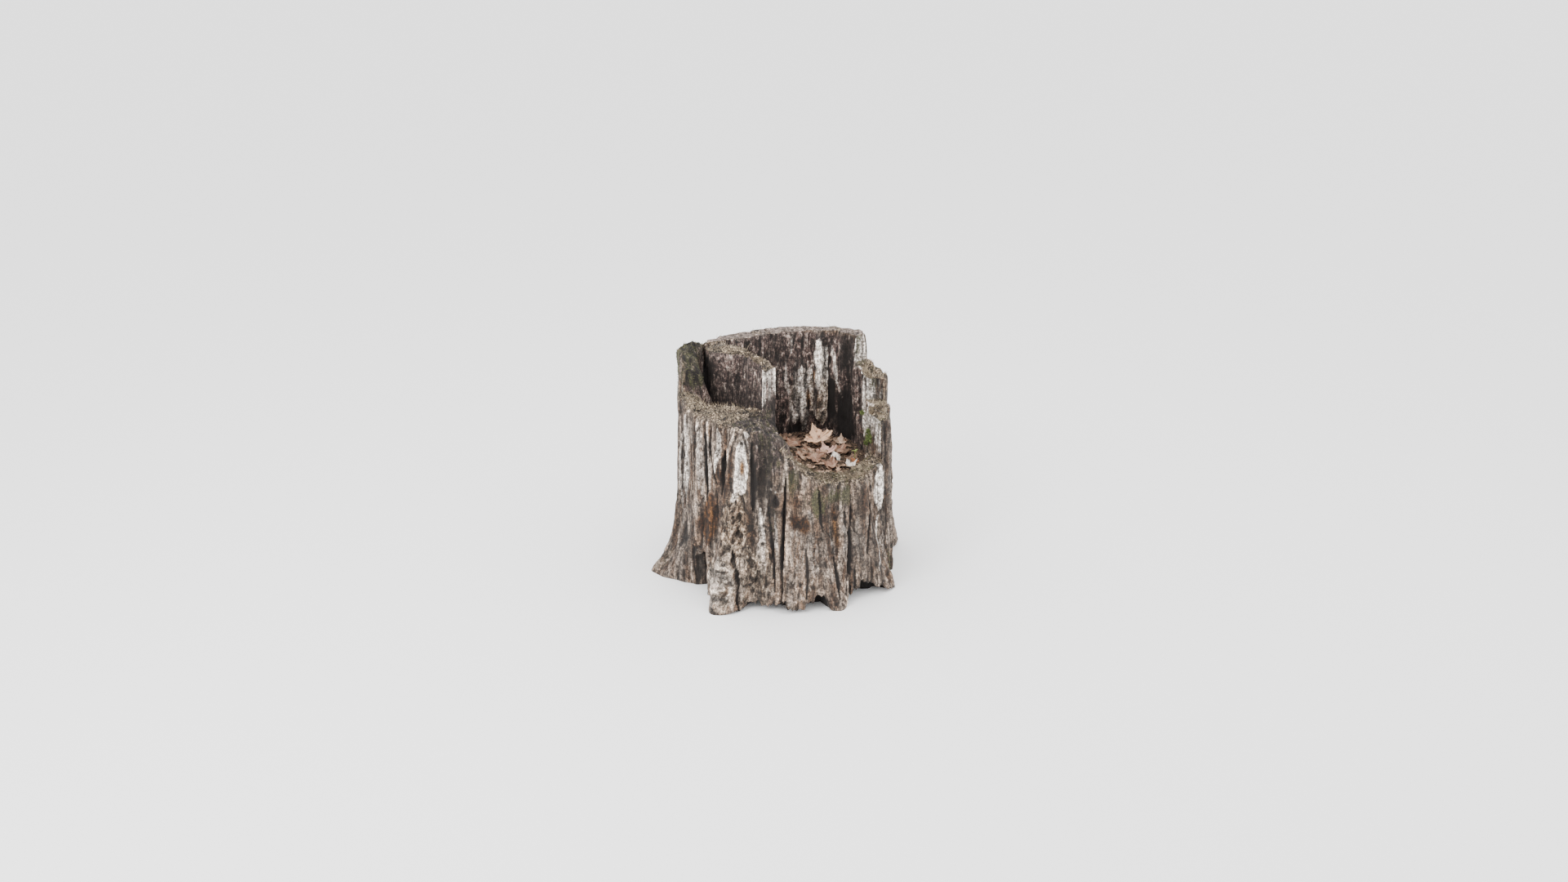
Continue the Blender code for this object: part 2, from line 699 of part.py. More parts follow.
def fuse(pieces, name):
    """Joins overlapping pieces into one solid."""
    others = bpy.data.collections.new("fused")
    for piece in pieces[1:]:
        others.objects.link(piece)
    first = pieces[0]
    modifier = first.modifiers.new("union", "BOOLEAN")
    modifier.operation = "UNION"
    modifier.solver = "EXACT"
    modifier.operand_type = "COLLECTION"
    modifier.collection = others
    depsgraph = bpy.context.evaluated_depsgraph_get()
    mesh = bpy.data.meshes.new_from_object(first.evaluated_get(depsgraph))
    made = bpy.data.objects.new(name, mesh)
    bpy.context.scene.collection.objects.link(made)
    for piece in pieces:
        bpy.data.objects.remove(piece)
    bpy.data.collections.remove(others)
    return made


def remove_startup_objects():
    """An empty scene to build in."""
    for existing in list(bpy.data.objects):
        bpy.data.objects.remove(existing)


def main():
    remove_startup_objects()
    angles = column_angles()
    wood = build_wood(angles)
    humus = build_humus(angles)
    cut_hole(humus, SPROUT_X, SPROUT_Y, SPROUT_RADIUS + HOLE_GAP, SPROUT_DEPTH)
    sprout = build_sprout(humus)
    placed = [wood, humus, sprout]
    for leaf in reversed(LEAVES):
        made = build_leaf(*leaf)
        settle(made, placed)
        placed.append(made)
    for twig in TWIGS:
        made = build_twig(*twig)
        settle(made, placed)
        placed.append(made)


main()
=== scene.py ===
"""Looks of a hollow, weathered tree stump with fallen leaves, twigs and a seedling in its heart.

Metres, +Z up, -Y to the front. Angles are in degrees round the trunk from the front, positive
towards +X. The wood is a grid of columns, one for each angle, and rows that run from under the
foot, up the outside, over the broken rim and down into the hollow.
"""

import functools
import math
import random
from types import SimpleNamespace

import bmesh
import bpy
import numpy as np
from mathutils import Matrix, Vector


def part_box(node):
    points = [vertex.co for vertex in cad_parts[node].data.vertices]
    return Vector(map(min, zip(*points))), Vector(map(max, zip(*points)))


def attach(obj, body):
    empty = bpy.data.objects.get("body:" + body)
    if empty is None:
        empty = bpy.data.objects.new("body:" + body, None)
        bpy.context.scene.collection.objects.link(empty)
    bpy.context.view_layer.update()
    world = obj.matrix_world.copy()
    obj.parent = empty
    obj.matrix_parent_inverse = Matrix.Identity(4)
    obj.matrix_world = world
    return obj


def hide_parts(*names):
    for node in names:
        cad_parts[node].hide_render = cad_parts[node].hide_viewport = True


bl_info = {
    "name": "Hollow Weathered Stump",
    "version": (1, 0, 0),
    "blender": (4, 5, 0),
    "location": "3D View > Sidebar > Stump",
    "description": "Dresses a hollow tree stump: wood, humus, leaves, twigs, moss and its stage",
    "category": "Add Mesh",
}

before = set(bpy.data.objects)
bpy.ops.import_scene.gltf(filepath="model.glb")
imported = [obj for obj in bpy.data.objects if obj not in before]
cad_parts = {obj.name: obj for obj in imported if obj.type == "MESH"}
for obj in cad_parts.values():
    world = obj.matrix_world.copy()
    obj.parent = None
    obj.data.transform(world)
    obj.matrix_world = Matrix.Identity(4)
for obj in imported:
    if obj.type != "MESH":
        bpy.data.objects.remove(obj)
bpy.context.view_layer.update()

# Main sizes of the trunk, as in its solid.
TRUNK_HEIGHT = 0.90
HOLLOW_X = 0.08
HOLLOW_Y = 0.07
HOLLOW_FLOOR = 0.36
PLAIN_WALL_TOP = 0.455
HUMUS_LEVEL = 0.432

# Outline of the trunk at mid height: angle, radius.
TRUNK_OUTLINE = (
    (-180, 0.430), (-150, 0.434), (-130, 0.434), (-108, 0.430), (-90, 0.424), (-60, 0.440),
    (-30, 0.452), (0, 0.455), (30, 0.450), (60, 0.442), (90, 0.434), (110, 0.436),
    (125, 0.440), (140, 0.446), (155, 0.437),
)

# Outline of the hollow about its own centre: angle, radius.
HOLLOW_OUTLINE = (
    (-180, 0.284), (-164, 0.288), (-138, 0.318), (-124, 0.356), (-117, 0.362), (-112, 0.315),
    (-107, 0.268), (-98, 0.235), (-88, 0.216), (-67, 0.194), (-45, 0.204), (-30, 0.228),
    (-16.5, 0.282), (-3.5, 0.325), (13, 0.350), (33, 0.338), (56, 0.300), (75, 0.268),
    (108, 0.256), (124, 0.268), (140, 0.280), (166, 0.288),
)

# Height of the outer edge of the rim: angle, height. Two near angles make a broken step.
OUTER_EDGE = (
    (-180, 0.890), (-150, 0.878), (-125, 0.872), (-120.0, 0.868), (-118.5, 0.850), (-114, 0.886),
    (-106, 0.904), (-98, 0.896), (-92, 0.872), (-88.5, 0.830), (-87.2, 0.742), (-74, 0.734),
    (-60, 0.732), (-45, 0.728), (-32, 0.722), (-23, 0.724), (-15, 0.718), (-7, 0.686),
    (2, 0.622), (10, 0.548), (20, 0.504), (36, 0.488), (50, 0.496), (58, 0.506),
    (65.4, 0.520), (66.8, 0.672), (80, 0.690), (95.4, 0.680), (96.8, 0.776), (108, 0.792),
    (117, 0.798), (123.8, 0.806), (125.2, 0.912), (150, 0.906),
)

# Height of the inner edge of the rim.
INNER_EDGE = (
    (-180, 0.890), (-150, 0.880), (-124, 0.874), (-112, 0.876), (-98, 0.880), (-80, 0.884),
    (-60, 0.888), (-40, 0.888), (-31.8, 0.880), (-30.6, 0.684), (-24, 0.610), (-16.5, 0.556),
    (-4, 0.512), (12, 0.488), (33, 0.478), (50, 0.486), (64.8, 0.505),
    (66.0, 0.662), (82, 0.684), (95.4, 0.674), (96.8, 0.764), (110, 0.776), (123.8, 0.790),
    (125.2, 0.904), (150, 0.900),
)

# The left of the top is a wall within the wall: a ledge, a crevice behind it, and the inner wall.
LEDGE_FROM = -119.2
LEDGE_TO = -31.2
CREVICE_FLOOR = 0.60
LEDGE_WIDTH = (
    (-120, 0.050), (-85, 0.060), (-75, 0.075), (-66, 0.100), (-58, 0.160), (-50, 0.232),
    (-44, 0.256), (-40, 0.268), (-31, 0.275),
)
INNER_WALL_WIDTH = (
    (-122, 0.100), (-116, 0.090), (-110, 0.130), (-100, 0.142), (-93, 0.075), (-88, 0.040),
    (-80, 0.032), (-66, 0.038), (-50, 0.044), (-40, 0.056), (-31, 0.066),
)
SAG_FROM = -31.0
SAG_TO = -5.0

# Buttress roots: angle, half width in degrees, reach beyond the trunk, height that they fade over.
ROOTS = (
    (-76, 20, 0.105, 0.095), (-26, 13, 0.130, 0.140), (8, 45, 0.060, 0.160),
    (24, 6.5, 0.055, 0.090), (54, 16, 0.085, 0.130), (117, 20, 0.090, 0.160),
    (172, 19, 0.085, 0.150), (-140, 18, 0.105, 0.170),
)

# Broad furrows and plates: angle, half width, depth (minus stands out), lowest, highest.
FURROWS = (
    (-47.5, 7.0, 0.100, -0.20, 0.110), (-36, 5.0, 0.018, 0.180, 0.460),
    (-10, 6.5, 0.026, 0.300, 0.700), (-20, 7.0, 0.014, 0.120, 0.440),
    (12, 12.0, -0.012, 0.100, 0.440), (27, 3.0, 0.010, 0.080, 0.500),
    (46, 8.0, -0.010, 0.120, 0.460), (82, 5.0, 0.014, 0.040, 0.600),
    (140, 7.0, 0.014, 0.020, 0.700), (-172, 6.0, 0.014, 0.200, 0.800),
    (-120, 5.0, 0.020, 0.050, 0.700), (-70, 4.0, 0.010, 0.300, 0.680),
    (-100, 16.0, -0.014, 0.700, 1.000),
)

# Drying splits: angle, half width in degrees, depth, lowest, highest.
SPLITS = (
    (60.5, 0.8, 0.022, 0.100, 0.490),
    (104, 1.0, 0.026, 0.100, 0.740), (-158, 1.0, 0.024, 0.080, 0.860),
    (-97, 0.9, 0.020, 0.160, 0.820), (158, 0.9, 0.020, 0.180, 0.860),
)

# Splits and cracks that wander: half width and depth in metres, then a line of (angle, height).
CRACKS = (
    (0.0085, 0.026, (35.9, 0.500), (34.8, 0.400), (33.6, 0.340), (32.6, 0.241), (31.7, 0.149), (30.6, 0.050)),
    (0.0055, 0.026, (1.4, 0.535), (0.4, 0.432), (-0.8, 0.295), (-1.7, 0.179), (-1.8, 0.030)),
    (
        0.0075, 0.028, (-58.0, 0.740), (-55.6, 0.550), (-54.6, 0.433), (-50.6, 0.335),
        (-49.0, 0.200), (-50.5, 0.080),
    ),
    (0.0090, 0.020, (-31.4, 0.620), (-31.8, 0.540), (-32.6, 0.440)),
    (0.0055, 0.014, (-45.6, 0.730), (-43.9, 0.575), (-42.6, 0.460), (-42.0, 0.400)),
    (0.0055, 0.014, (-41.6, 0.730), (-41.0, 0.614), (-37.6, 0.530), (-36.0, 0.470)),
    (0.0065, 0.016, (-15.9, 0.680), (-15.2, 0.560), (-14.6, 0.440), (-15.0, 0.400)),
    (0.0040, 0.012, (-8.8, 0.430), (-7.8, 0.370), (-6.4, 0.286), (-4.9, 0.199), (-4.4, 0.080)),
    (0.0040, 0.008, (17.3, 0.490), (17.7, 0.412), (18.4, 0.310)),
    (0.0045, 0.010, (52.6, 0.500), (50.0, 0.440), (47.4, 0.370), (44.6, 0.280), (42.4, 0.180)),
    (0.0040, 0.009, (-66.0, 0.730), (-65.0, 0.560), (-66.5, 0.380), (-68.0, 0.220)),
    (0.0040, 0.009, (-73.5, 0.730), (-74.5, 0.520), (-73.0, 0.300)),
    (0.0040, 0.009, (24.0, 0.200), (24.6, 0.120), (24.0, 0.040)),
    (0.0040, 0.008, (9.6, 0.260), (10.2, 0.160), (9.2, 0.060)),
    (0.0060, 0.018, (-25.2, 0.230), (-23.6, 0.170), (-20.6, 0.110), (-18.6, 0.020)),
    (0.0050, 0.012, (-118.0, 0.700), (-119.5, 0.450), (-117.5, 0.220)),
    (0.0050, 0.012, (136.0, 0.860), (137.5, 0.560), (135.0, 0.260), (136.0, 0.120)),
    (0.0050, 0.012, (-138.0, 0.840), (-136.0, 0.600), (-139.0, 0.360)),
    (0.0050, 0.012, (178.0, 0.820), (176.0, 0.560), (179.0, 0.300)),
    (0.0050, 0.012, (86.0, 0.620), (84.5, 0.420), (86.5, 0.200)),
)

# The rotted hem, where the wood ends above the ground: angle, height.
HEM_HEIGHT = (
    (-180, 0.0), (-24, 0.0), (-20, 0.012), (-14, 0.030), (-8, 0.016), (-2.5, 0.044), (3, 0.020),
    (8, 0.016), (10.5, 0.044), (15, 0.058), (18.6, 0.050), (19.8, 0.0), (28, 0.0),
    (29.4, 0.040), (34, 0.055), (38, 0.055), (41, 0.085), (44, 0.060), (49, 0.045), (54, 0.020),
    (58, 0.0), (148, 0.0), (153, 0.030), (158, 0.048), (162, 0.022), (166, 0.0),
)
HEM_TEETH = 0.018
HEM_DEPTH = 0.090
PLAIN_DEPTH = 0.030

# Ribs and pockets on the wall of the hollow: angle, half width, depth (minus stands out), low, high.
HOLLOW_RIBS = (
    (165, 6.0, -0.040, 0.520, 0.845), (-178, 7.0, -0.028, 0.300, 0.725),
    (148, 8.0, 0.012, 0.500, 0.640), (122, 6.0, -0.014, 0.300, 0.760),
    (-150, 6.0, 0.012, 0.500, 0.860), (-128, 5.0, -0.016, 0.500, 0.840),
)

# The grid: fine where the front shows, coarser behind, and finer still at each broken step.
FINE_COLUMN = 0.62
COARSE_COLUMN = 1.3
FINE_FROM = -112.0
FINE_TO = 78.0
STEP_COLUMNS = 10
STEPS = (
    (-119.8, -118.6), (-88.5, -87.2), (-31.8, -30.6), (64.8, 66.8), (95.4, 96.8), (123.8, 125.2),
)
OUTER_ROWS = 96
INNER_ROWS = 40
TOP_ROWS = (4, 5, 3, 4, 3, 2, 12, 4, 3)
HUMUS_COLUMNS = 241
HUMUS_ROWS = 60

# The first rows of the grid lie flat under the foot, and have no relief.
FLAT_ROWS = 4

# Rows across the rim from its outer edge: the foot of the crevice, and the face of the inner wall.
CREVICE_ROWS = (sum(TOP_ROWS[:4]), sum(TOP_ROWS[:6]) + 1)
RISER_ROWS = (sum(TOP_ROWS[:5]), sum(TOP_ROWS[:7]))

# Metres of rim to a degree, and the distance between the marks that the saw left.
RIM_PER_DEGREE = 0.0079
SAW_MARK = 0.011

# A grain ridge this high above the wood near it is as light as wood gets, and a dip as deep as dark: painted
# highlight and painted shade.
RIDGE_HEIGHT = 0.007

# Bare pale staves: half width in metres, strength, how far it stands proud, then (angle, height).
PALE_LINES = (
    (0.016, 0.55, 0.002, (-50.0, 0.715), (-49.4, 0.677), (-47.9, 0.568), (-46.4, 0.440)),
    (0.010, 0.45, 0.002, (-43.6, 0.720), (-42.6, 0.600), (-41.4, 0.500), (-40.2, 0.430)),
    (0.011, 0.75, 0.002, (-35.4, 0.712), (-34.6, 0.667), (-35.2, 0.600), (-36.6, 0.520)),
    (0.009, 0.42, 0.006, (-24.6, 0.700), (-28.4, 0.640), (-30.4, 0.560), (-31.4, 0.500)),
    (0.006, 0.45, 0.005, (-21.3, 0.706), (-18.0, 0.690), (-16.4, 0.640), (-16.6, 0.560)),
    (0.010, 0.60, 0.004, (-20.5, 0.716), (-16.4, 0.700)),
    (0.010, 0.75, 0.004, (-12.2, 0.405), (-11.6, 0.334)),
    (0.016, 0.65, 0.004, (-11.2, 0.320), (-10.2, 0.210)),
    (0.010, 0.55, 0.003, (-4.6, 0.400), (-3.9, 0.310), (-3.2, 0.230)),
    (0.007, 0.62, 0.007, (-6.9, 0.494), (-6.2, 0.486)),
    (0.008, 0.70, 0.008, (-4.4, 0.488), (-3.4, 0.480)),
    (0.006, 0.55, 0.006, (-2.3, 0.472), (-1.9, 0.464)),
    (0.026, 1.25, 0.004, (58.8, 0.505), (58.2, 0.410), (57.6, 0.330)),
    (0.011, 0.85, 0.002, (56.3, 0.300), (52.3, 0.212), (47.0, 0.110)),
    (0.014, 0.45, 0.002, (12.0, 0.420), (12.5, 0.330)),
    (0.010, 0.45, 0.002, (28.6, 0.440), (28.2, 0.300), (27.0, 0.180)),
    (0.020, 0.70, 0.000, (-64.0, 0.700), (-63.0, 0.500), (-63.0, 0.360)),
    (0.018, 0.50, 0.000, (-77.0, 0.700), (-76.0, 0.480), (-72.0, 0.260)),
    (0.012, 0.42, 0.003, (-100.0, 0.760), (-101.0, 0.500), (-99.0, 0.300)),
    (0.014, 0.42, 0.003, (72.0, 0.640), (73.0, 0.460), (71.0, 0.260)),
    (0.014, 0.42, 0.003, (92.0, 0.640), (91.0, 0.440), (93.0, 0.200)),
    (0.016, 0.45, 0.004, (112.0, 0.740), (113.0, 0.500), (111.0, 0.300)),
    (0.016, 0.45, 0.004, (130.0, 0.880), (131.0, 0.600), (129.0, 0.380)),
    (0.014, 0.42, 0.004, (150.0, 0.860), (149.0, 0.600), (151.0, 0.300)),
    (0.018, 0.45, 0.004, (-170.0, 0.860), (-171.0, 0.560), (-168.0, 0.280)),
    (0.014, 0.42, 0.004, (-150.0, 0.840), (-149.0, 0.500), (-150.0, 0.260)),
    (0.018, 0.45, 0.004, (-130.0, 0.820), (-129.0, 0.560), (-131.0, 0.240)),
    (0.012, 0.42, 0.003, (-110.0, 0.800), (-111.0, 0.560), (-109.0, 0.260)),
    (0.006, 0.50, 0.003, (168.0, 0.840), (168.5, 0.600), (167.0, 0.360)),
)

# Bare plates with a broken edge: strength, how far they stand proud, then (height, left, right).
PALE_PLATES = (
    (
        0.88, 0.006, (0.430, -27.6, -24.6), (0.470, -27.0, -18.8), (0.520, -26.0, -17.2),
        (0.580, -24.8, -17.4), (0.640, -23.4, -18.4), (0.675, -22.4, -19.6),
    ),
    (0.65, 0.003, (0.150, -12.0, -8.0), (0.240, -13.6, -8.2), (0.330, -13.0, -9.8), (0.420, -12.4, -11.8)),
    (0.36, 0.002, (0.040, -0.5, 8.0), (0.160, 0.5, 16.0), (0.280, 1.5, 16.5), (0.330, 2.0, 12.0)),
    (0.32, 0.003, (0.040, 36.0, 41.0), (0.240, 35.5, 43.0), (0.420, 38.0, 48.0), (0.470, 39.0, 49.0)),
)

# Rust stains along the grain.
RUST_LINES = (
    (0.040, 1.30, 0.0, (-39.4, 0.430), (-40.0, 0.330), (-41.5, 0.220)),
    (0.016, 0.80, 0.0, (-43.0, 0.200), (-46.0, 0.140)),
    (0.020, 0.85, 0.0, (5.4, 0.460), (6.2, 0.410)),
    (0.022, 1.10, 0.0, (5.0, 0.390), (5.6, 0.330)),
    (0.024, 1.10, 0.0, (9.6, 0.380), (9.4, 0.310)),
    (0.020, 0.95, 0.0, (24.6, 0.440), (26.0, 0.312), (26.3, 0.200)),
    (0.014, 0.60, 0.0, (19.6, 0.430), (20.4, 0.340)),
    (0.032, 0.80, 0.0, (43.6, 0.470), (43.0, 0.400), (41.6, 0.340)),
    (0.008, 1.30, 0.0, (-20.4, 0.604), (-20.2, 0.530)),
    (0.011, 1.05, 0.0, (-25.4, 0.672), (-26.6, 0.620), (-27.8, 0.540), (-29.4, 0.470), (-31.0, 0.410)),
    (0.011, 1.00, 0.0, (-57.6, 0.620), (-56.8, 0.430)),
    (0.013, 1.00, 0.0, (-33.2, 0.560), (-33.6, 0.470)),
    (0.020, 0.90, 0.0, (-17.4, 0.420), (-15.4, 0.250)),
    (0.012, 0.60, 0.0, (13.0, 0.450), (13.0, 0.400)),
    (0.018, 0.70, 0.0, (66.0, 0.420), (65.0, 0.200)),
    (0.030, 0.80, 0.0, (106.0, 0.640), (107.0, 0.420)),
    (0.034, 0.80, 0.0, (172.0, 0.520), (170.0, 0.300)),
    (0.028, 0.80, 0.0, (-126.0, 0.640), (-127.0, 0.420)),
    (0.024, 0.70, 0.0, (-90.0, 0.400), (-92.0, 0.240)),
)

# The same inside the hollow, by the angle about its own centre.
HOLLOW_PALE_LINES = (
    (0.027, 1.05, 0.010, (164.9, 0.856), (163.9, 0.790), (163.0, 0.731), (162.4, 0.668), (161.8, 0.560)),
    (0.022, 0.90, 0.006, (162.4, 0.640), (161.8, 0.570), (162.8, 0.480)),
    (0.015, 0.85, 0.005, (172.5, 0.745), (173.3, 0.646), (172.1, 0.540)),
    (0.012, 0.80, 0.004, (-179.0, 0.740), (-177.6, 0.640), (-178.6, 0.500)),
    (0.013, 0.75, 0.003, (-171.0, 0.560), (-173.0, 0.480)),
    (0.010, 0.75, 0.003, (155.4, 0.840), (152.3, 0.788), (149.0, 0.669), (143.4, 0.614)),
    (0.022, 1.20, 0.003, (124.3, 0.900), (122.9, 0.817), (122.0, 0.796)),
    (0.020, 0.80, 0.003, (104.0, 0.760), (101.0, 0.640), (101.0, 0.500)),
    (0.018, 0.70, 0.002, (76.0, 0.660), (74.0, 0.540)),
    (0.006, 0.80, 0.002, (-170.5, 0.880), (-170.0, 0.780)),
    (0.010, 0.50, 0.002, (-166.0, 0.780), (-165.0, 0.620)),
    (0.008, 0.45, 0.002, (-146.0, 0.860), (-147.0, 0.640)),
)
HOLLOW_RUST_LINES = (
    (0.007, 0.90, 0.0, (167.6, 0.760), (167.5, 0.640)),
    (0.012, 0.90, 0.0, (176.0, 0.640), (175.0, 0.540)),
    (0.012, 0.60, 0.0, (165.0, 0.640), (165.0, 0.540)),
    (0.012, 0.50, 0.0, (-170.0, 0.700), (-171.0, 0.560)),
)
# Cracks in the hollow, painted black as shade.
HOLLOW_CRACK_SHADE_LINES = (
    (0.010, 1.10, 0.0, (158.6, 0.820), (157.2, 0.700), (156.6, 0.560), (157.0, 0.470)),
    (0.006, 0.80, 0.0, (168.4, 0.840), (168.0, 0.700), (167.4, 0.600)),
    (0.006, 0.90, 0.0, (-179.5, 0.880), (-179.0, 0.760)),
    (0.007, 0.80, 0.0, (140.0, 0.880), (139.0, 0.700)),
    (0.006, 0.80, 0.0, (130.5, 0.880), (130.0, 0.640)),
)
HOLLOW_ROT_LINES = (
    (0.022, 1.00, 0.0, (162.4, 0.700), (161.6, 0.583), (162.6, 0.480)),
    (0.018, 0.80, 0.0, (172.8, 0.700), (172.1, 0.540)),
)

# Other patches on the outside: angle, height, half width in degrees, half height, strength.
BLEACHED = (
    (-30.0, 0.095, 8.0, 0.085, 0.62), (57, 0.16, 3.0, 0.10, 0.4), (13.0, 0.185, 12.0, 0.110, 0.20),
    (-46.0, 0.560, 8.0, 0.160, 0.42), (-62.0, 0.560, 6.0, 0.180, 0.35),
    (100, 0.45, 4.0, 0.20, 0.4), (118, 0.20, 5.0, 0.16, 0.4), (160, 0.24, 5.0, 0.16, 0.4),
    (-6.5, 0.080, 3.0, 0.025, 0.40), (-64, 0.28, 3.5, 0.16, 0.35), (26.5, 0.320, 4.0, 0.110, 0.52),
)
CALM = (
    (15.0, 0.240, 16.0, 0.250, 1.0), (42.0, 0.300, 8.0, 0.220, 0.9), (-45.0, 0.540, 9.0, 0.200, 0.9),
    (-21.0, 0.560, 4.0, 0.120, 1.0),
    (-66.0, 0.500, 10.0, 0.260, 0.6), (120.0, 0.400, 14.0, 0.300, 0.6), (-150.0, 0.500, 14.0, 0.300, 0.6),
    (-10.0, 0.260, 4.0, 0.120, 0.7), (-29.5, 0.100, 8.0, 0.110, 1.0),
    (58.2, 0.410, 3.5, 0.110, 1.0),
)
# Dark patches: dark stains, and painted shade near the foot and in the pit.
DARK_STAINS_AND_SHADE = (
    (-10.0, 0.620, 5.5, 0.090, 0.70), (-51.5, 0.060, 2.6, 0.080, 0.6),
    (-4.3, 0.441, 1.6, 0.020, 1.2), (-10.5, 0.500, 6.0, 0.12, 0.75), (38, 0.045, 8.0, 0.030, 0.8),
    (14, 0.030, 5.0, 0.025, 0.8), (-62, 0.08, 6.0, 0.07, 0.4), (-17, 0.24, 6.0, 0.12, 0.25),
    (142, 0.12, 7.0, 0.12, 0.5), (-88, 0.12, 6.0, 0.10, 0.5), (-15.5, 0.36, 3.0, 0.16, 0.55),
    (43.0, 0.25, 8.0, 0.20, 0.50), (-6.0, 0.43, 4.5, 0.06, 0.70), (-13.0, 0.12, 7.0, 0.10, 0.62),
    (-4.0, 0.28, 3.0, 0.14, 0.20), (-41.0, 0.24, 5.0, 0.05, 0.30), (33.0, 0.24, 3.0, 0.20, 0.35),
    (63.0, 0.24, 6.0, 0.22, 0.42), (24.0, 0.440, 12.0, 0.040, 0.34),
)
MOSSY = (
    (16.0, 0.430, 4.5, 0.055, 0.9), (28, 0.442, 9.0, 0.038, 0.8), (4.0, 0.520, 5.0, 0.050, 0.6),
    (-10.0, 0.600, 5.5, 0.100, 0.45), (-103, 0.800, 11.0, 0.110, 0.9), (-90, 0.700, 6.0, 0.060, 0.5),
    (78, 0.650, 8.0, 0.060, 0.6), (108, 0.740, 9.0, 0.060, 0.8), (68, 0.060, 8.0, 0.060, 0.6),
    (-75, 0.05, 8.0, 0.050, 0.4), (50, 0.460, 5.0, 0.030, 0.4), (-6, 0.36, 3.0, 0.10, 0.35),
    (170, 0.080, 12.0, 0.090, 0.7), (-140, 0.100, 14.0, 0.120, 0.8), (120, 0.10, 10.0, 0.090, 0.5),
    (13.0, 0.12, 3.0, 0.10, 0.25),
)
CRUMBLY = (
    (-24.0, 0.300, 9.0, 0.150, 1.0), (-14.0, 0.150, 8.0, 0.130, 1.0), (-19.0, 0.42, 4.0, 0.06, 0.6),
    (-163, 0.12, 8.0, 0.10, 0.7), (150, 0.10, 7.0, 0.09, 0.7),
)
WRINKLED = (
    (-30.0, 0.095, 10.0, 0.110, 1.0), (60, 0.11, 8.0, 0.08, 0.4), (-140, 0.08, 10.0, 0.08, 0.5),
    (11.0, 0.130, 10.0, 0.090, 0.35),
)
KNOT_ANGLE = -21.4
KNOT_HEIGHT = 0.664
KNOT_RADIUS = 0.008
PIT_ANGLE = -4.3
PIT_HEIGHT = 0.439

# Radii at which the half widths of lines are measured, outside and in the hollow.
LINE_RADIUS = 0.46
HOLLOW_LINE_RADIUS = 0.36

# Patches on the wall of the hollow, by the angle about its own centre.
# Black patches: painted shade in the cavities and at the back of the hollow.
HOLLOW_PAINTED_SHADE = (
    (139.0, 0.520, 17.0, 0.120, 1.15), (153.5, 0.620, 3.0, 0.100, 1.10), (137.0, 0.790, 12.0, 0.110, 0.78),
    (-174.0, 0.450, 9.0, 0.050, 0.90), (-120.0, 0.580, 20.0, 0.160, 0.30), (-148.0, 0.780, 22.0, 0.120, 0.52),
)
# Pale patches: bleached wood, and painted light where the back of the hollow lies in shade.
HOLLOW_PALE_AND_PAINTED_LIGHT = (
    (-178.0, 0.600, 9.0, 0.120, 0.66), (168.0, 0.560, 8.0, 0.080, 0.50), (62.0, 0.600, 12.0, 0.080, 1.20),
    (80.0, 0.600, 8.0, 0.060, 0.70),
)
HOLLOW_MOSS = ((78, 0.540, 10.0, 0.040, 0.6), (50, 0.47, 10.0, 0.03, 0.5))

# Half the outline of a dry plane leaf, from its stalk round to the tip, in half widths.
LEAF_HALF = (
    (0.020, -0.62), (0.018, -0.31), (0.10, -0.35), (0.36, -0.46), (0.56, -0.40), (0.50, -0.22),
    (0.76, -0.17), (1.00, 0.08), (0.80, 0.14), (0.74, 0.32), (0.54, 0.25), (0.36, 0.30),
    (0.42, 0.50), (0.34, 0.60), (0.19, 0.68), (0.10, 0.86),
)
LEAF_TIP = (0.0, 1.04)
LEAF_HEART = (0.0, 0.05)
LEAF_THICKNESS = 0.0010
LEAF_RIBS = (
    (0.0, 1.04), (1.00, 0.08), (-1.00, 0.08), (0.42, 0.50), (-0.42, 0.50), (0.56, -0.40), (-0.56, -0.40),
)
LEAF_RIB_FOOT = (0.0, -0.30)
LEAF_TOOTH = 0.035
LEAF_NOTCH = -0.012
BLADE_THICKNESS = 0.0008

# Fallen leaves: name, x, y, half width, turn, tilt, curl, material.
LEAVES = (
    ("leaf_broad", 0.145, 0.172, 0.066, 24, 26, 0.020, "leaf_tan"),
    ("leaf_brown", 0.128, 0.036, 0.044, 196, 34, 0.014, "leaf_brown"),
    ("leaf_pale", 0.216, 0.048, 0.032, 118, 14, -0.012, "leaf_pale"),
    ("leaf_curled", 0.196, -0.048, 0.044, 80, 12, 0.018, "leaf_brown"),
    ("leaf_cream", 0.270, -0.050, 0.031, 300, 16, 0.012, "leaf_pale"),
    ("leaf_rust", 0.292, -0.006, 0.022, 140, 10, 0.010, "leaf_tan"),
    ("leaf_upright", 0.236, 0.212, 0.030, 350, 40, 0.014, "leaf_pale"),
    ("leaf_under", 0.075, 0.095, 0.052, 262, 6, 0.010, "leaf_brown"),
    ("leaf_hidden", 0.030, -0.040, 0.056, 60, 5, 0.012, "leaf_tan"),
    ("leaf_front", 0.150, -0.160, 0.058, 160, 5, -0.010, "leaf_brown"),
    ("leaf_back", -0.070, 0.215, 0.052, 330, 8, 0.014, "leaf_tan"),
    ("leaf_folded", 0.176, 0.112, 0.046, 20, 14, 0.016, "leaf_tan"),
    ("leaf_dark", 0.236, 0.128, 0.044, 250, 8, 0.012, "leaf_brown"),
    ("leaf_left", 0.040, 0.200, 0.048, 130, 10, 0.012, "leaf_pale"),
)

# Twigs: name, x, y, length, turn, thickness.
TWIGS = (
    ("twig_pale", 0.205, 0.235, 0.110, 24, 0.0055),
    ("twig_dark", 0.060, 0.110, 0.150, -32, 0.0065),
)
TWIG_BEND = 0.008

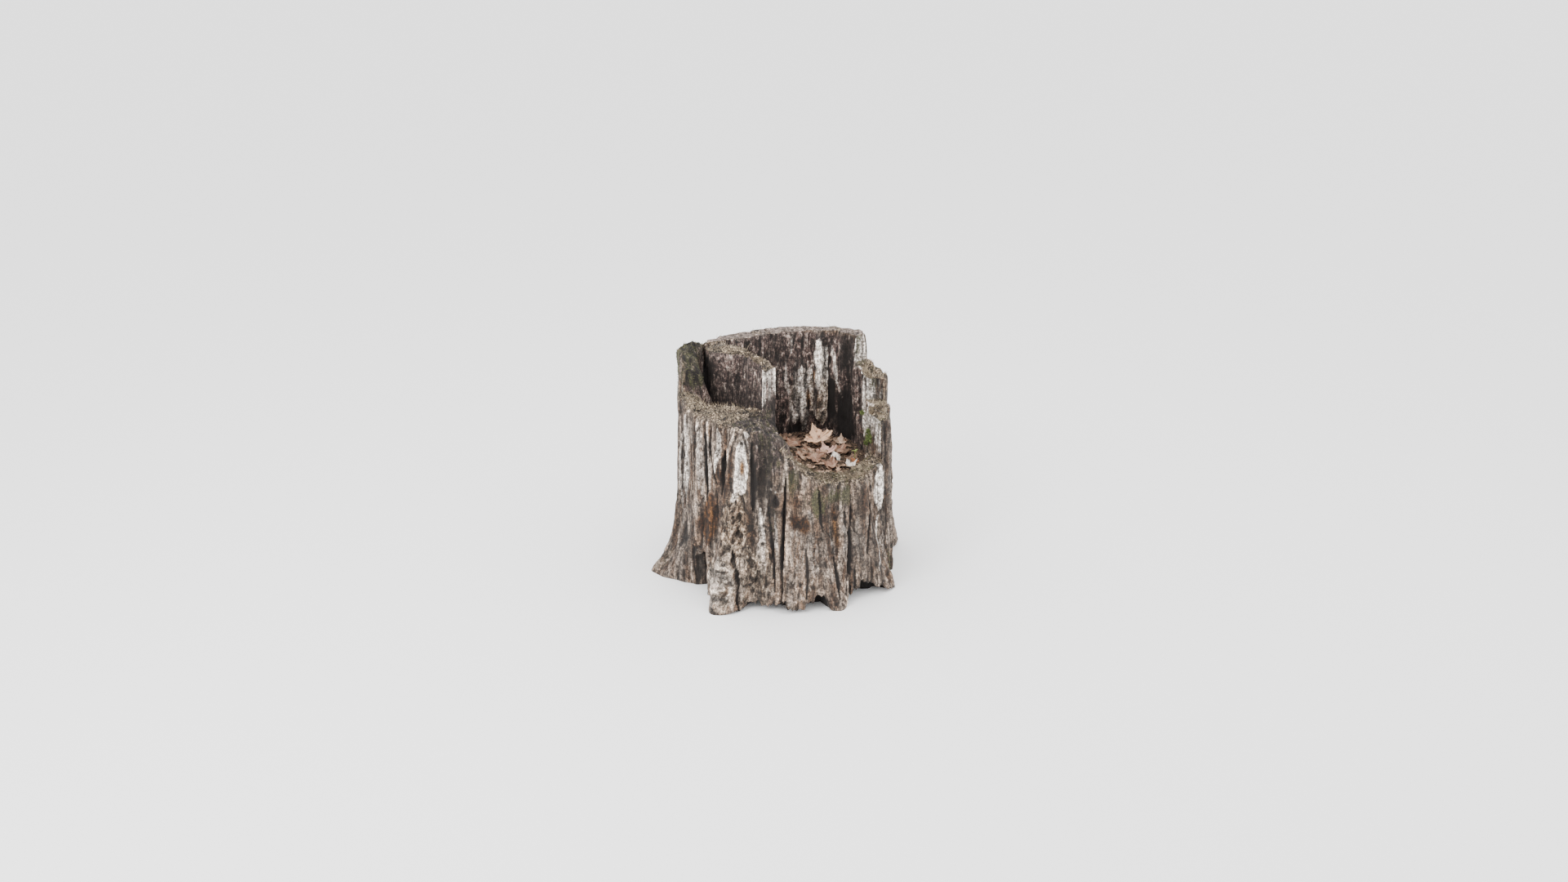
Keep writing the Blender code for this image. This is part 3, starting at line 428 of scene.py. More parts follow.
# The seedling, as in its solid.
SPROUT_X = 0.292
SPROUT_Y = 0.040
SPROUT_DEPTH = 0.020
SPROUT_RISE = 0.034
SPROUT_RADIUS = 0.0022
SPROUT_LEAF = 0.017
SPROUT_LEAVES = 4
SPROUT_BLADE = 0.0007

# The gap under and round what lies in the hollow, and the share of the hollow that humus fills.
SEAT_GAP = 0.0004
HUMUS_REACH = 0.997

# Small growth and debris: shortest and longest, thinnest and thickest.
FIBRE_LENGTHS = (0.007, 0.020)
FIBRE_RADII = (0.0005, 0.0013)
MOSS_LENGTHS = (0.003, 0.008)
MOSS_RADII = (0.0007, 0.0013)
TUFT_LENGTHS = (0.006, 0.016)
TUFT_RADII = (0.0012, 0.0026)
CRUMB_SIZES = (0.0015, 0.0048)
SCRAP_SIZES = (0.008, 0.026)
SCRAP_THICKNESS = 0.0006

# Shoots and splinters are made in batches of this many, and no moss grows below this height.
SPIKE_BATCH = 200
MOSS_FROM = 0.014

# Green tufts on the right wall: middle, reach, number of shoots.
WALL_TUFTS = (
    ((0.350, -0.078, 0.566), 0.022, 420), ((0.342, -0.060, 0.590), 0.012, 120),
    ((0.318, -0.020, 0.655), 0.010, 60), ((0.336, -0.050, 0.535), 0.012, 120),
)

# Colours, as sRGB hex.
WOOD_DEEP = "#20160f"
WOOD_BROWN = "#402f23"
WOOD_GREY = "#5e5147"
WOOD_LIGHT = "#97887b"
WOOD_WARM = "#5e4a3a"
BLEACHED_DARK = "#978a7d"
BLEACHED_SILVER = "#d6cbc0"
BLEACHED_CREAM = "#f6eee4"
WOOD_RUST = "#8b6841"
# Near black for dark stains, and for painted shade in cracks, holes, creases, the crevice and under the hem.
SHADE_AND_STAIN_BLACK = "#140e0b"
FRAY_DEEP = "#211913"
FRAY_BROWN = "#4d3f32"
FRAY_TAN = "#786a57"
FRAY_PALE = "#b0a089"
RING_DARK = "#4e413a"
RING_MIDDLE = "#74655d"
RING_LIGHT = "#998a80"
ROT_BROWN = "#3f2d20"
ROT_TAN = "#7a6450"
ROT_CREAM = "#cdbaa4"
# The wood of the hollow: browner than outside, its darker tones painted shade.
HOLLOW_DEEP = "#1c1514"
HOLLOW_BROWN = "#3f322e"
HOLLOW_TAN = "#6c5a53"
HOLLOW_PALE = "#b7a89d"
MOSS_DEEP = "#26261a"
MOSS_DARK = "#494a30"
MOSS_OLIVE = "#6b6b47"
MOSS_FRESH_DEEP = "#2c3a1a"
MOSS_FRESH = "#6d7742"
FIBRE_DARK = "#231a14"
FIBRE_PALE = "#aa9981"
HUMUS_DARK = "#1d1613"
HUMUS_BROWN = "#4a3a2e"
HUMUS_TAN = "#8b7560"
CRUMB_DARK = "#2a201a"
CRUMB_TAN = "#8d765e"
SCRAP_DARK = "#3c2a20"
SCRAP_TAN = "#c8a489"
LEAF_TAN = "#efc3a0"
LEAF_BROWN = "#94705b"
LEAF_PALE = "#f2e9dd"
SLOT_COLOURS = {"leaf_tan": LEAF_TAN, "leaf_brown": LEAF_BROWN, "leaf_pale": LEAF_PALE}
LEAF_COLOURS = {
    "leaf_left": "#96705a", "leaf_upright": "#c2a893", "leaf_back": "#80634f", "leaf_rust": "#b06f44",
    "leaf_folded": "#dcb3a3", "leaf_hidden": "#745a49",
}
LEAF_SPOT = "#6a4230"
LEAF_RIB = "#e2c6ae"
TWIG_GREY = "#9a8d7d"
TWIG_DARK = "#54463a"
SEEDLING_GREEN = "#9a9f58"
SEEDLING_DEEP = "#5f7438"
FLOOR_GREY = "#fbfbfb"

# Growth rings. The wave texture repeats once in this length of its own unit.
WAVE_LENGTH = math.pi / 10.0
RING_SPACING_MM = 4.028
RING_SWING_MM = 200.0

# The stage. Lights: name, place, size, power.
FLOOR_HALF = 45.0
TARGET = (0.0, 0.142, 0.474)
LIT_PLACE = (0.0, 0.0, 0.45)
LENS_MM = 38.6
WORLD_STRENGTH = 2.35
LIGHTS = (
    ("key_light", (-2.8, -3.6, 3.8), 2.0, 170.0),
    ("fill_light", (3.6, -2.4, 3.0), 3.0, 30.0),
    ("top_light", (-0.4, 0.2, 4.6), 2.2, 60.0),
)


def linear(colour):
    """Turns an sRGB hex colour to linear red, green and blue."""
    parts = [int(colour[index : index + 2], 16) / 255.0 for index in (1, 3, 5)]
    return tuple(c / 12.92 if c <= 0.04045 else ((c + 0.055) / 1.055) ** 2.4 for c in parts)


# Small helpers that work on whole arrays at once.


def wrapped(angle):
    """The same angle, from -180 up to 180."""
    return (angle + 180.0) % 360.0 - 180.0


def smooth(value):
    """Eases 0 to 1."""
    value = np.clip(value, 0.0, 1.0)
    return value * value * (3.0 - 2.0 * value)


def around(table, angle):
    """Straight interpolation round a closed table of (angle, value)."""
    rows = np.array(table, float)
    return np.interp(wrapped(angle), rows[:, 0], rows[:, 1], period=360.0)


def curve_value(table, angle):
    """A smooth closed curve through a table of (angle, value), at one angle."""
    angle = wrapped(angle)
    count = len(table)
    after = sum(1 for row in table if row[0] <= angle) % count
    knots = []
    for step in (-2, -1, 0, 1):
        index = (after + step) % count
        knots.append((wrapped(table[index][0] - angle), table[index][1]))
    (_, a), (start, b), (end, c), (_, d) = knots
    share = -start / (end - start)
    return 0.5 * (
        2 * b + (c - a) * share + (2 * a - 5 * b + 4 * c - d) * share**2
        + (3 * b - a - 3 * c + d) * share**3
    )


@functools.lru_cache(maxsize=None)
def curve_samples(table):
    """The curve's values half a degree apart, worked out once for each table."""
    samples = np.arange(-180.0, 180.0, 0.5)
    return samples, np.array([curve_value(table, sample) for sample in samples])


def curve_around(table, angle):
    """The same curve at many angles."""
    samples, values = curve_samples(table)
    return np.interp(wrapped(angle), samples, values, period=360.0)


def bump(offset, half_width):
    """1 at the middle of a feature, and 0 at its half width and beyond."""
    return smooth(1.0 - np.abs(offset) / half_width)


def between(value, low, high, fade):
    """1 between two heights, fading to 0 over a short way beyond them."""
    return smooth((value - low + fade) / fade) * smooth((high + fade - value) / fade)


def table_depth(table, angle, z, fade):
    """Depth of the furrows, ribs or splits of a table at many places."""
    depth = np.zeros(np.broadcast(angle, z).shape)
    for middle, half_width, deep, low, high in table:
        depth = depth + deep * bump(wrapped(angle - middle), half_width) * between(z, low, high, fade)
    return depth


def lattice(ix, iy, iz, seed):
    """A repeatable random number from -1 to 1 for each whole-number place."""
    value = (ix * 374761393 + iy * 668265263 + iz * 1274126177 + seed * 974634777) & 0xFFFFFFFF
    value = ((value ^ (value >> 13)) * 1274126177) & 0xFFFFFFFF
    value = ((value ^ (value >> 16)) * 668265263) & 0xFFFFFFFF
    return (value ^ (value >> 15)) / 2147483647.5 - 1.0


def noise(place, across, along, seed):
    """Smooth noise from -1 to 1. across and along are the sizes of its lumps in metres."""
    x = place[..., 0] / across
    y = place[..., 1] / across
    z = place[..., 2] / along
    ix, iy, iz = (np.floor(v).astype(np.int64) for v in (x, y, z))
    fx, fy, fz = smooth(x - ix), smooth(y - iy), smooth(z - iz)
    total = 0.0
    for dx in (0, 1):
        for dy in (0, 1):
            for dz in (0, 1):
                weight = (fx if dx else 1 - fx) * (fy if dy else 1 - fy) * (fz if dz else 1 - fz)
                total = total + weight * lattice(ix + dx, iy + dy, iz + dz, seed)
    return total


def crest(value):
    """Turns smooth noise into sharp crests: 1 on the crest line, less beside it."""
    return 1.0 - np.abs(value)


def cells(place, across, along, seed):
    """Uneven blocks: the random value of each block, and the distance from its border."""
    x = place[..., 0] / across
    y = place[..., 1] / across
    z = place[..., 2] / along
    ix, iy, iz = (np.floor(v).astype(np.int64) for v in (x, y, z))
    nearest = np.full(x.shape, 9.0)
    second = np.full(x.shape, 9.0)
    value = np.zeros(x.shape)
    for dx in (-1, 0, 1):
        for dy in (-1, 0, 1):
            for dz in (-1, 0, 1):
                jx, jy, jz = ix + dx, iy + dy, iz + dz
                px = jx + 0.5 + 0.45 * lattice(jx, jy, jz, seed)
                py = jy + 0.5 + 0.45 * lattice(jx, jy, jz, seed + 1)
                pz = jz + 0.5 + 0.45 * lattice(jx, jy, jz, seed + 2)
                far = np.sqrt((x - px) ** 2 + (y - py) ** 2 + (z - pz) ** 2)
                own = lattice(jx, jy, jz, seed + 3)
                closer = far < nearest
                second = np.where(closer, nearest, np.minimum(second, far))
                value = np.where(closer, own, value)
                nearest = np.where(closer, far, nearest)
    return value, second - nearest


def patches(table, angle, z, place, ragged=0.35):
    """Soft patches with ragged edges, as the largest of a table's patches at each place."""
    swing = noise(place, 0.016, 0.09, 71) + 0.6 * noise(place, 0.007, 0.04, 72)
    total = np.zeros(z.shape)
    for middle, height, half_width, half_height, strength in table:
        off = np.hypot(wrapped(angle - middle) / half_width, (z - height) / half_height)
        total = np.maximum(total, strength * smooth(1.5 - off + ragged * swing))
    return total


def line_share(lines, angle, z, radius, wander, edge):
    """How strongly each place lies on a line, and how far a line lifts or sinks it.

    wander is a noise that makes the edges uneven, and edge is how wide they fade, as a share.
    """
    share = np.zeros(z.shape)
    lift = np.zeros(z.shape)
    for half_width, strength, proud, *points in lines:
        near = np.full(z.shape, 9.0)
        place = np.zeros(z.shape)
        for step, ((a0, z0), (a1, z1)) in enumerate(zip(points, points[1:])):
            across = np.radians(wrapped(angle - a0)) * radius
            run = math.radians(wrapped(a1 - a0)) * radius
            rise = z1 - z0
            along = np.clip((across * run + (z - z0) * rise) / (run * run + rise * rise), 0.0, 1.0)
            off = np.hypot(across - run * along, z - z0 - rise * along)
            place = np.where(off < near, (step + along) / (len(points) - 1), place)
            near = np.minimum(near, off)
        taper = 0.30 + 0.70 * smooth(np.minimum(place, 1.0 - place) / 0.30)
        inside = smooth((1.0 + 0.5 * edge - near / (half_width * taper) * (1.0 + 0.45 * wander)) / edge)
        share = np.maximum(share, strength * inside)
        lift = lift + proud * inside
    return share, lift


def plate_share(plates, angle, z, radius, wander):
    """The same for plates, whose left and right edges change with height."""
    share = np.zeros(z.shape)
    lift = np.zeros(z.shape)
    for strength, proud, *rows in plates:
        heights, left, right = np.array(rows).T
        half = np.radians(np.interp(z, heights, right - left)) * radius / 2
        middle = np.interp(z, heights, (left + right) / 2)
        off = np.abs(np.radians(wrapped(angle - middle))) * radius
        inside = smooth((half + 0.004 - off + 0.006 * wander) / 0.012)
        inside = inside * between(z + 0.01 * wander, heights[0], heights[-1], 0.015)
        share = np.maximum(share, strength * inside)
        lift = lift + proud * inside
    return share, lift


# The wood's form, as in its solid, and then its finer relief.


def stave_ends(angle, seed):
    """Broken wood ends stave by stave: an uneven height for each few degrees round the rim."""
    ring = np.stack([angle * RIM_PER_DEGREE, np.zeros_like(angle), np.zeros_like(angle)], axis=-1)
    blocks = cells(ring, 0.017, 1.0, seed)[0]
    fine = noise(ring, 0.006, 1.0, seed + 9)
    return 0.75 * blocks + 0.45 * fine


def sawn_share(angle):
    """1 where the rim was sawn, 0 where it has broken."""
    return smooth((58.0 - np.abs(wrapped(angle - 180.0 + 3.0))) / 3.0)


def staves(angle, z):
    """The long upright ridges of the solid."""
    a = np.radians(angle)
    return (
        0.0060 * np.sin(23 * a + 1.3 + 3.0 * z)
        + 0.0048 * np.sin(37 * a + 2.1 - 4.0 * z)
        + 0.0050 * np.sin(9 * a + 0.7 + 5.0 * z)
    )


def trunk_radius(angle, z):
    """Radius of the outside of the trunk."""
    radius = curve_around(TRUNK_OUTLINE, angle) * (1.03 - 0.06 * smooth(z / TRUNK_HEIGHT))
    for middle, half_width, reach, fades_over in ROOTS:
        spread = half_width * (1.0 + 0.35 * z / fades_over)
        fade = np.exp(-((np.maximum(z, 0.0) / fades_over) ** 1.3))
        radius = radius + reach * bump(wrapped(angle - middle), spread) * fade
    radius = radius - table_depth(FURROWS, angle, z, 0.09)
    radius = radius - table_depth(SPLITS, angle, z, 0.05)
    return radius + staves(angle, z)


def hollow_radius(angle, z):
    """Radius of the hollow about its own centre. Below the humus it is upright."""
    radius = curve_around(HOLLOW_OUTLINE, angle)
    above = smooth((z - PLAIN_WALL_TOP) / 0.06)
    a = np.radians(angle)
    ripple = 0.0045 * np.sin(17 * a + 1.1 + 6 * z) + 0.0040 * np.sin(31 * a + 0.4 - 5 * z)
    return radius + above * (table_depth(HOLLOW_RIBS, angle, z, 0.05) + ripple)


def outer_places(angle, z, inset=0.0):
    """Places on the outside of the trunk, or a little way in from it."""
    lean = 1.6 * np.sin(np.radians(2 * angle + 40)) * (0.45 - z)
    radius = trunk_radius(angle, z) - inset
    turned = np.radians(angle + lean)
    return np.stack([radius * np.sin(turned), -radius * np.cos(turned), z + 0 * angle], axis=-1)


def hollow_places(angle, z, share=1.0):
    """Places on the wall of the hollow, or at a share of the way out to it."""
    radius = hollow_radius(angle, z) * share
    turned = np.radians(angle)
    x = HOLLOW_X + radius * np.sin(turned)
    y = HOLLOW_Y - radius * np.cos(turned)
    return np.stack([x, y, z + 0 * angle], axis=-1)


def column_angles():
    """The angles of the grid's columns, from -180 to 180."""
    angles = [-180.0]
    while angles[-1] < 180.0 - COARSE_COLUMN:
        fine = FINE_FROM < angles[-1] < FINE_TO
        angles.append(angles[-1] + (FINE_COLUMN if fine else COARSE_COLUMN))
    for low, high in STEPS:
        angles = [angle for angle in angles if angle < low - 0.2 or angle > high + 0.2]
        angles += list(np.linspace(low, high, STEP_COLUMNS))
    return np.array(sorted(angles) + [180.0])


def foot_rows(angles, hem):
    """The hem: flat under a sound foot, or hollowed up behind a rotted edge."""
    eaten = smooth(hem / 0.02)
    depth = PLAIN_DEPTH + (HEM_DEPTH - PLAIN_DEPTH) * eaten
    roof = hem * 1.25
    flat = outer_places(angles, 0 * angles, depth)
    centre = np.zeros_like(flat)
    rows = [centre, flat * 0.5, flat]
    for share in (0.35, 0.7, 1.0):
        rows.append(outer_places(angles, roof * share, depth * (1.0 - 0.14 * share)))
    rows.append(outer_places(angles, roof * 1.1, depth * 0.65))
    rows.append(outer_places(angles, roof * 1.1, depth * 0.35))
    return rows


def outer_rows(angles, hem, high):
    """From the hem to the outer edge of the rim, a little rounded at the top."""
    rows = []
    for row in range(OUTER_ROWS):
        share = row / (OUTER_ROWS - 1)
        share = share + 0.05 * math.sin(2 * math.pi * share) / math.pi
        inset = 0.008 * max(0.0, 1.0 - (1.0 - share) * 40.0) ** 2
        rows.append(outer_places(angles, hem + (high - hem) * share, inset))
    return rows


def top_knots(angles, start, end):
    """Ten knots across the rim: plain, or with the ledge, the crevice and the inner wall."""
    length = np.linalg.norm(end - start, axis=1)
    high = start[:, 2]
    inner = end[:, 2]
    sag = (angles > SAG_FROM) & (angles < SAG_TO)
    power = np.where(sag, 2.4, 1.0)
    stepped = smooth((angles - LEDGE_FROM + 0.6) / 1.2) * smooth((LEDGE_TO + 0.6 - angles) / 1.2)
    width = around(INNER_WALL_WIDTH, angles)
    riser = length - width
    ledge = np.minimum(around(LEDGE_WIDTH, angles), riser - 0.024)
    gap = riser - ledge
    deep = smooth(gap / 0.06)
    crevice = CREVICE_FLOOR * deep + (high - 0.03) * (1.0 - deep)
    profile = (
        (0.0 * ledge, high), (0.35 * ledge, high + 0.002), (0.80 * ledge, high - 0.002),
        (ledge, high - 0.012), (ledge + 0.22 * gap, 0.5 * (high + crevice)),
        (ledge + 0.55 * gap, crevice), (riser - 0.10 * gap, crevice + 0.02),
        (riser, inner - 0.006), (riser + 0.5 * width, inner + 0.002), (length, inner),
    )
    knots = []
    for index, (along, z) in enumerate(profile):
        share = index / 9.0
        plain = start + (end - start) * share
        plain[:, 2] = high + (inner - high) * share**power
        built = start + (end - start) * (along / length)[:, None]
        built[:, 2] = z
        knots.append(plain + (built - plain) * stepped[:, None])
    return knots


def top_rows(angles, start, end):
    """The knots across the rim, with rows between them."""
    knots = top_knots(angles, start, end)
    rows = []
    for index, count in enumerate(TOP_ROWS):
        for step in range(1, count + 1):
            rows.append(knots[index] + (knots[index + 1] - knots[index]) * (step / count))
    return rows


def inner_rows(angles, top):
    """Down the wall of the hollow, and in over its floor."""
    rows = []
    for row in range(1, INNER_ROWS + 1):
        z = top + (PLAIN_WALL_TOP - 0.03 - top) * (row / INNER_ROWS)
        rows.append(hollow_places(angles, z))
    rows.append(hollow_places(angles, HOLLOW_FLOOR + 0 * angles))
    middle = hollow_places(angles, HOLLOW_FLOOR + 0 * angles, 0.0)
    rows.append(middle)
    return rows


def blurred(field, rows_by, columns_by):
    """A field averaged over its near rows and columns."""
    columns = sum(np.roll(field, shift, axis=1) for shift in range(-columns_by, columns_by + 1))
    both = sum(np.roll(columns, shift, axis=0) for shift in range(-rows_by, rows_by + 1))
    return both / ((2 * rows_by + 1) * (2 * columns_by + 1))


def grid_normals(places):
    """Outward directions of a grid of places."""
    around_way = np.roll(places, -1, axis=1) - np.roll(places, 1, axis=1)
    around_way[:, 0] = places[:, 1] - places[:, -2]
    around_way[:, -1] = around_way[:, 0]
    up_way = np.gradient(places, axis=0)
    normal = np.cross(around_way, up_way)
    length = np.linalg.norm(normal, axis=-1, keepdims=True)
    return normal / np.maximum(length, 1e-9)


def grain_relief(places, strength):
    """Staves, ridges and fine grain, all drawn out up the trunk, in metres."""
    swirl = places.copy()
    swirl[..., 0] += 0.014 * noise(places, 0.10, 0.14, 1)
    swirl[..., 1] += 0.014 * noise(places, 0.10, 0.14, 2)
    relief = 0.0045 * noise(swirl, 0.055, 0.60, 3)
    relief += strength * 0.0026 * (crest(noise(swirl, 0.019, 0.34, 4)) - 0.5)
    relief += strength * 0.0024 * noise(swirl, 0.0105, 0.13, 5)
    relief += strength * 0.0013 * noise(swirl, 0.0060, 0.045, 6)
    return swirl, relief


def check_relief(places, swirl):
    """Drying checks, narrow upright gaps that come and go: their depth, and their darkness, which is painted
    shade.
    """
    come_and_go = smooth(1.2 * noise(places, 0.09, 0.20, 21) + 0.35)
    check = smooth((crest(noise(swirl, 0.026, 0.45, 22)) - 0.88) / 0.12) * come_and_go
    come_and_go = smooth(1.2 * noise(places, 0.06, 0.10, 23) + 0.35)
    hairline = smooth((crest(noise(swirl, 0.013, 0.22, 24)) - 0.84) / 0.16) * come_and_go
    return 0.0085 * check + 0.0035 * hairline, np.maximum(0.85 * check, 0.50 * hairline)


def knot_relief(angle, z):
    """The knot hole, and the ridges that arch over it."""
    run = np.radians(wrapped(angle - KNOT_ANGLE)) * LINE_RADIUS
    rise = z - KNOT_HEIGHT
    far = np.hypot(run, rise * 0.85)
    hole = smooth((KNOT_RADIUS * 1.4 - far) / (KNOT_RADIUS * 0.7))
    arches = np.sin(2 * math.pi * far / 0.019) * np.exp(-far / 0.050) * smooth((0.085 - far) / 0.03)
    return hole, arches * smooth((rise + 0.03) / 0.03)


def wood_zones(places, angles, rows_of):
    """Which part of the wood each place of the grid lies on, as shares from 0 to 1."""
    first_outer, first_top, first_inner = rows_of
    z = places[..., 2]
    angle = np.broadcast_to(angles, z.shape)
    rows = np.arange(z.shape[0])[:, None] + 0 * z
    outer = (rows < first_top).astype(float)
    top = ((rows >= first_top) & (rows < first_inner)).astype(float)
    inner = (rows >= first_inner).astype(float)
    upward = smooth((grid_normals(places)[..., 2] - 0.30) / 0.40)
    stepped = smooth((angle - LEDGE_FROM) / 0.8) * smooth((LEDGE_TO + 0.6 - angle) / 0.8)
    across = rows - first_top
    return SimpleNamespace(
        places=places, z=z, angle=angle, rows=rows, across=across, stepped=stepped,
        hollow_angle=np.degrees(np.arctan2(places[..., 0] - HOLLOW_X, -(places[..., 1] - HOLLOW_Y))),
        # under: the hem's underside, painted dark as shade.
        outer=outer, top=top, inner=inner, under=(rows < first_outer).astype(float),
        upward=upward, fray=top * upward, side=top * (1.0 - upward), broken=1.0 - sawn_share(angle),
        riser=((across >= RISER_ROWS[0]) & (across < RISER_ROWS[1])) * stepped,
        way_in=across / (first_inner - first_top),
        wander=noise(places, 0.013, 0.05, 71) + 0.6 * noise(places, 0.006, 0.025, 72),
        calm=patches(CALM, angle, z, places) * outer,
    )


def weather_grain(wood):
    """Grain, uneven staves with dark seams, and drying checks painted dark as shade."""
    places, calm = wood.places, wood.calm
    upright = wood.outer + wood.inner
    wood.swirl, wood.relief = grain_relief(places, 1.0 - 0.5 * calm)
    wood.relief += 0.0018 * noise(places, 0.016, 0.022, 7) * (1.0 - 0.4 * calm)
    blocks, border = cells(wood.swirl, 0.050, 0.34, 11)
    wood.relief += 0.0040 * blocks * (wood.outer + 0.6 * wood.inner)
    sunk, dark = check_relief(places, wood.swirl)
    wood.relief -= sunk * (upright + 0.4 * wood.fray * wood.broken) * (1.0 - 0.6 * calm)
    dark = dark * (upright + 0.5 * wood.side + 0.4 * wood.fray) * (1.0 - 0.5 * calm)
    seam = smooth((0.07 - border) / 0.07) * (wood.outer + 0.6 * wood.inner)
    wood.relief -= 0.0025 * seam
    wood.dark = np.maximum(dark, 0.45 * seam)


def weather_cracks(wood):
    """Long splits and cracks, painted black inside as shade."""
    where = (wood.angle, wood.z)
    wide = [(middle, 1.2 * half, 1.0, low, high) for middle, half, deep, low, high in SPLITS]
    split = table_depth(wide, *where, 0.05)
    crack_shade_bands = [(1.5 * half, 1.0, 0.0, *points) for half, deep, *points in CRACKS]
    crack = line_share(crack_shade_bands, *where, LINE_RADIUS, wood.wander, 1.0)[0]
    opened = [(half, 1.0, deep, *points) for half, deep, *points in CRACKS]
    wood.relief -= line_share(opened, *where, LINE_RADIUS, wood.wander, 0.9)[1] * wood.outer
    wood.dark = np.maximum(wood.dark, 1.1 * np.maximum(split, crack) * wood.outer)


def weather_rot(wood):
    """Crumbling rot in lumps and pits, and the wrinkled root, with painted shade in the pits, on the low
    lumps and their borders, and in the creases.
    """
    places, outer = wood.places, wood.outer
    wrinkled = patches(WRINKLED, wood.angle, wood.z, places) * outer
    crumbly = patches(CRUMBLY, wood.angle, wood.z, places) * outer * (1.0 - smooth(1.4 * wrinkled))
    lumps, border = cells(wood.swirl, 0.020, 0.034, 31)
    grit = noise(places, 0.010, 0.014, 32) + 0.7 * noise(places, 0.0055, 0.008, 33)
    wood.relief += crumbly * (0.0075 * lumps + 0.0055 * grit)
    pits = 0.5 * smooth((0.10 - border) / 0.10) + 0.8 * smooth(-grit - 0.35)
    wood.dark = np.maximum(wood.dark, crumbly * pits)
    wood.dark = np.maximum(wood.dark, crumbly * 0.55 * smooth((-lumps - 0.35) / 0.2))
    folds = noise(places, 0.120, 0.026, 41) + 0.22 * noise(places, 0.03, 0.014, 42)
    crease = smooth((crest(folds * 1.3) - 0.66) / 0.34) * smooth(0.85 + noise(places, 0.05, 0.02, 43))
    wood.relief += wrinkled * (0.0070 * folds - 0.0070 * crease)
    wood.dark = np.maximum(wood.dark * (1.0 - 0.6 * wrinkled), 0.85 * wrinkled * crease)
    wood.rot = np.maximum(crumbly, 0.62 * smooth(wrinkled))


def weather_knot(wood):
    """The knot hole with its arched ridges, and the small pit, with painted shade in the hole and in the dips
    between the arches.
    """
    hole, arches = knot_relief(wood.angle, wood.z)
    off = np.hypot(wrapped(wood.angle - PIT_ANGLE) / 1.4, (wood.z - PIT_HEIGHT) / 0.020)
    pit = smooth(1.5 - off + 0.5 * wood.wander) * wood.outer
    wood.relief += (0.0030 * arches - 0.018 * hole) * wood.outer - 0.016 * pit
    wood.dark = np.maximum(wood.dark, np.maximum(1.2 * hole, 0.4 * smooth(-arches * 1.6)) * wood.outer)


def stain_outside(wood):
    """Dark stains and painted shade, bare pale staves and plates, rust and moss on the outside."""
    outer = wood.outer
    where = (wood.angle, wood.z)
    wood.dark = np.maximum(wood.dark, patches(DARK_STAINS_AND_SHADE, *where, wood.places) * outer)
    bleach, proud = line_share(PALE_LINES, *where, LINE_RADIUS, wood.wander, 1.9)
    wood.relief += proud * outer
    plate, proud = plate_share(PALE_PLATES, *where, LINE_RADIUS, wood.wander)
    wood.relief += proud * outer
    bare = np.maximum(plate, patches(BLEACHED, *where, wood.places, 0.6))
    wood.bleach = np.maximum(bleach, bare) * outer
    wood.dark = wood.dark * (1.0 - 0.5 * smooth(plate) * outer)
    rust = line_share(RUST_LINES, *where, LINE_RADIUS, wood.wander, 2.8)[0]
    wood.rust = blurred(rust, 2, 2) * outer
    wood.moss = patches(MOSSY, *where, wood.places, 0.6) * outer


def stain_hollow(wood):
    """The same on the wall of the hollow, with its soft rot, painted shade in its cracks and cavities, and
    painted light on pale patches.
    """
    inner = wood.inner
    where = (wood.hollow_angle, wood.z)
    black = line_share(HOLLOW_CRACK_SHADE_LINES, *where, HOLLOW_LINE_RADIUS, wood.wander, 0.9)[0]
    black = np.maximum(black, patches(HOLLOW_PAINTED_SHADE, *where, wood.places)) * inner
    wood.dark = np.maximum(wood.dark, black)
    pale, proud = line_share(HOLLOW_PALE_LINES, *where, HOLLOW_LINE_RADIUS, wood.wander, 1.7)
    pale = np.maximum(pale, patches(HOLLOW_PALE_AND_PAINTED_LIGHT, *where, wood.places, 0.6))
    wood.bleach = np.maximum(wood.bleach, pale * inner)
    wood.dark = wood.dark * (1.0 - 0.7 * np.clip(pale, 0, 1) * inner)
    wood.relief += proud * inner
    rust = line_share(HOLLOW_RUST_LINES, *where, HOLLOW_LINE_RADIUS, wood.wander, 1.8)[0]
    wood.rust = np.maximum(wood.rust, rust * inner)
    wood.moss = np.maximum(wood.moss, patches(HOLLOW_MOSS, *where, wood.places, 0.5) * inner)
    rot = line_share(HOLLOW_ROT_LINES, *where, HOLLOW_LINE_RADIUS, wood.wander, 1.0)[0]
    wood.rot = np.maximum(wood.rot, rot * inner)


def weather_rim(wood):
    """The rim, frayed where it broke and nearly flat where it was sawn, and the rougher hollow."""
    places, fray, broken = wood.places, wood.fray, wood.broken
    tuft = noise(places, 0.0075, 0.02, 61) + 0.7 * noise(places, 0.0040, 0.02, 62)
    lump = noise(places, 0.022, 0.05, 63)
    wood.relief += fray * (0.0040 * tuft + 0.0045 * lump) * (0.12 + 0.88 * broken)
    saw = np.sin(2 * math.pi * (places[..., 1] + 0.1 * places[..., 0]) / SAW_MARK)
    wood.relief += 0.0004 * saw * fray * (1.0 - broken)
    near_rim = wood.outer * smooth((wood.z - around(OUTER_EDGE, wood.angle) + 0.022) / 0.022) * broken
    wood.frayed = np.maximum(fray * (0.80 + 0.2 * lump), 0.5 * near_rim)
    gaps = smooth(1.5 * noise(places, 0.016, 0.03, 66) + 0.9 * tuft - 0.25) * broken
    wood.dark = np.maximum(wood.dark * (1.0 - 0.6 * fray), 0.85 * gaps * fray)
    rough = 0.0040 * noise(places, 0.020, 0.060, 67) + 0.0030 * noise(places, 0.011, 0.022, 68)
    wood.relief += wood.inner * rough


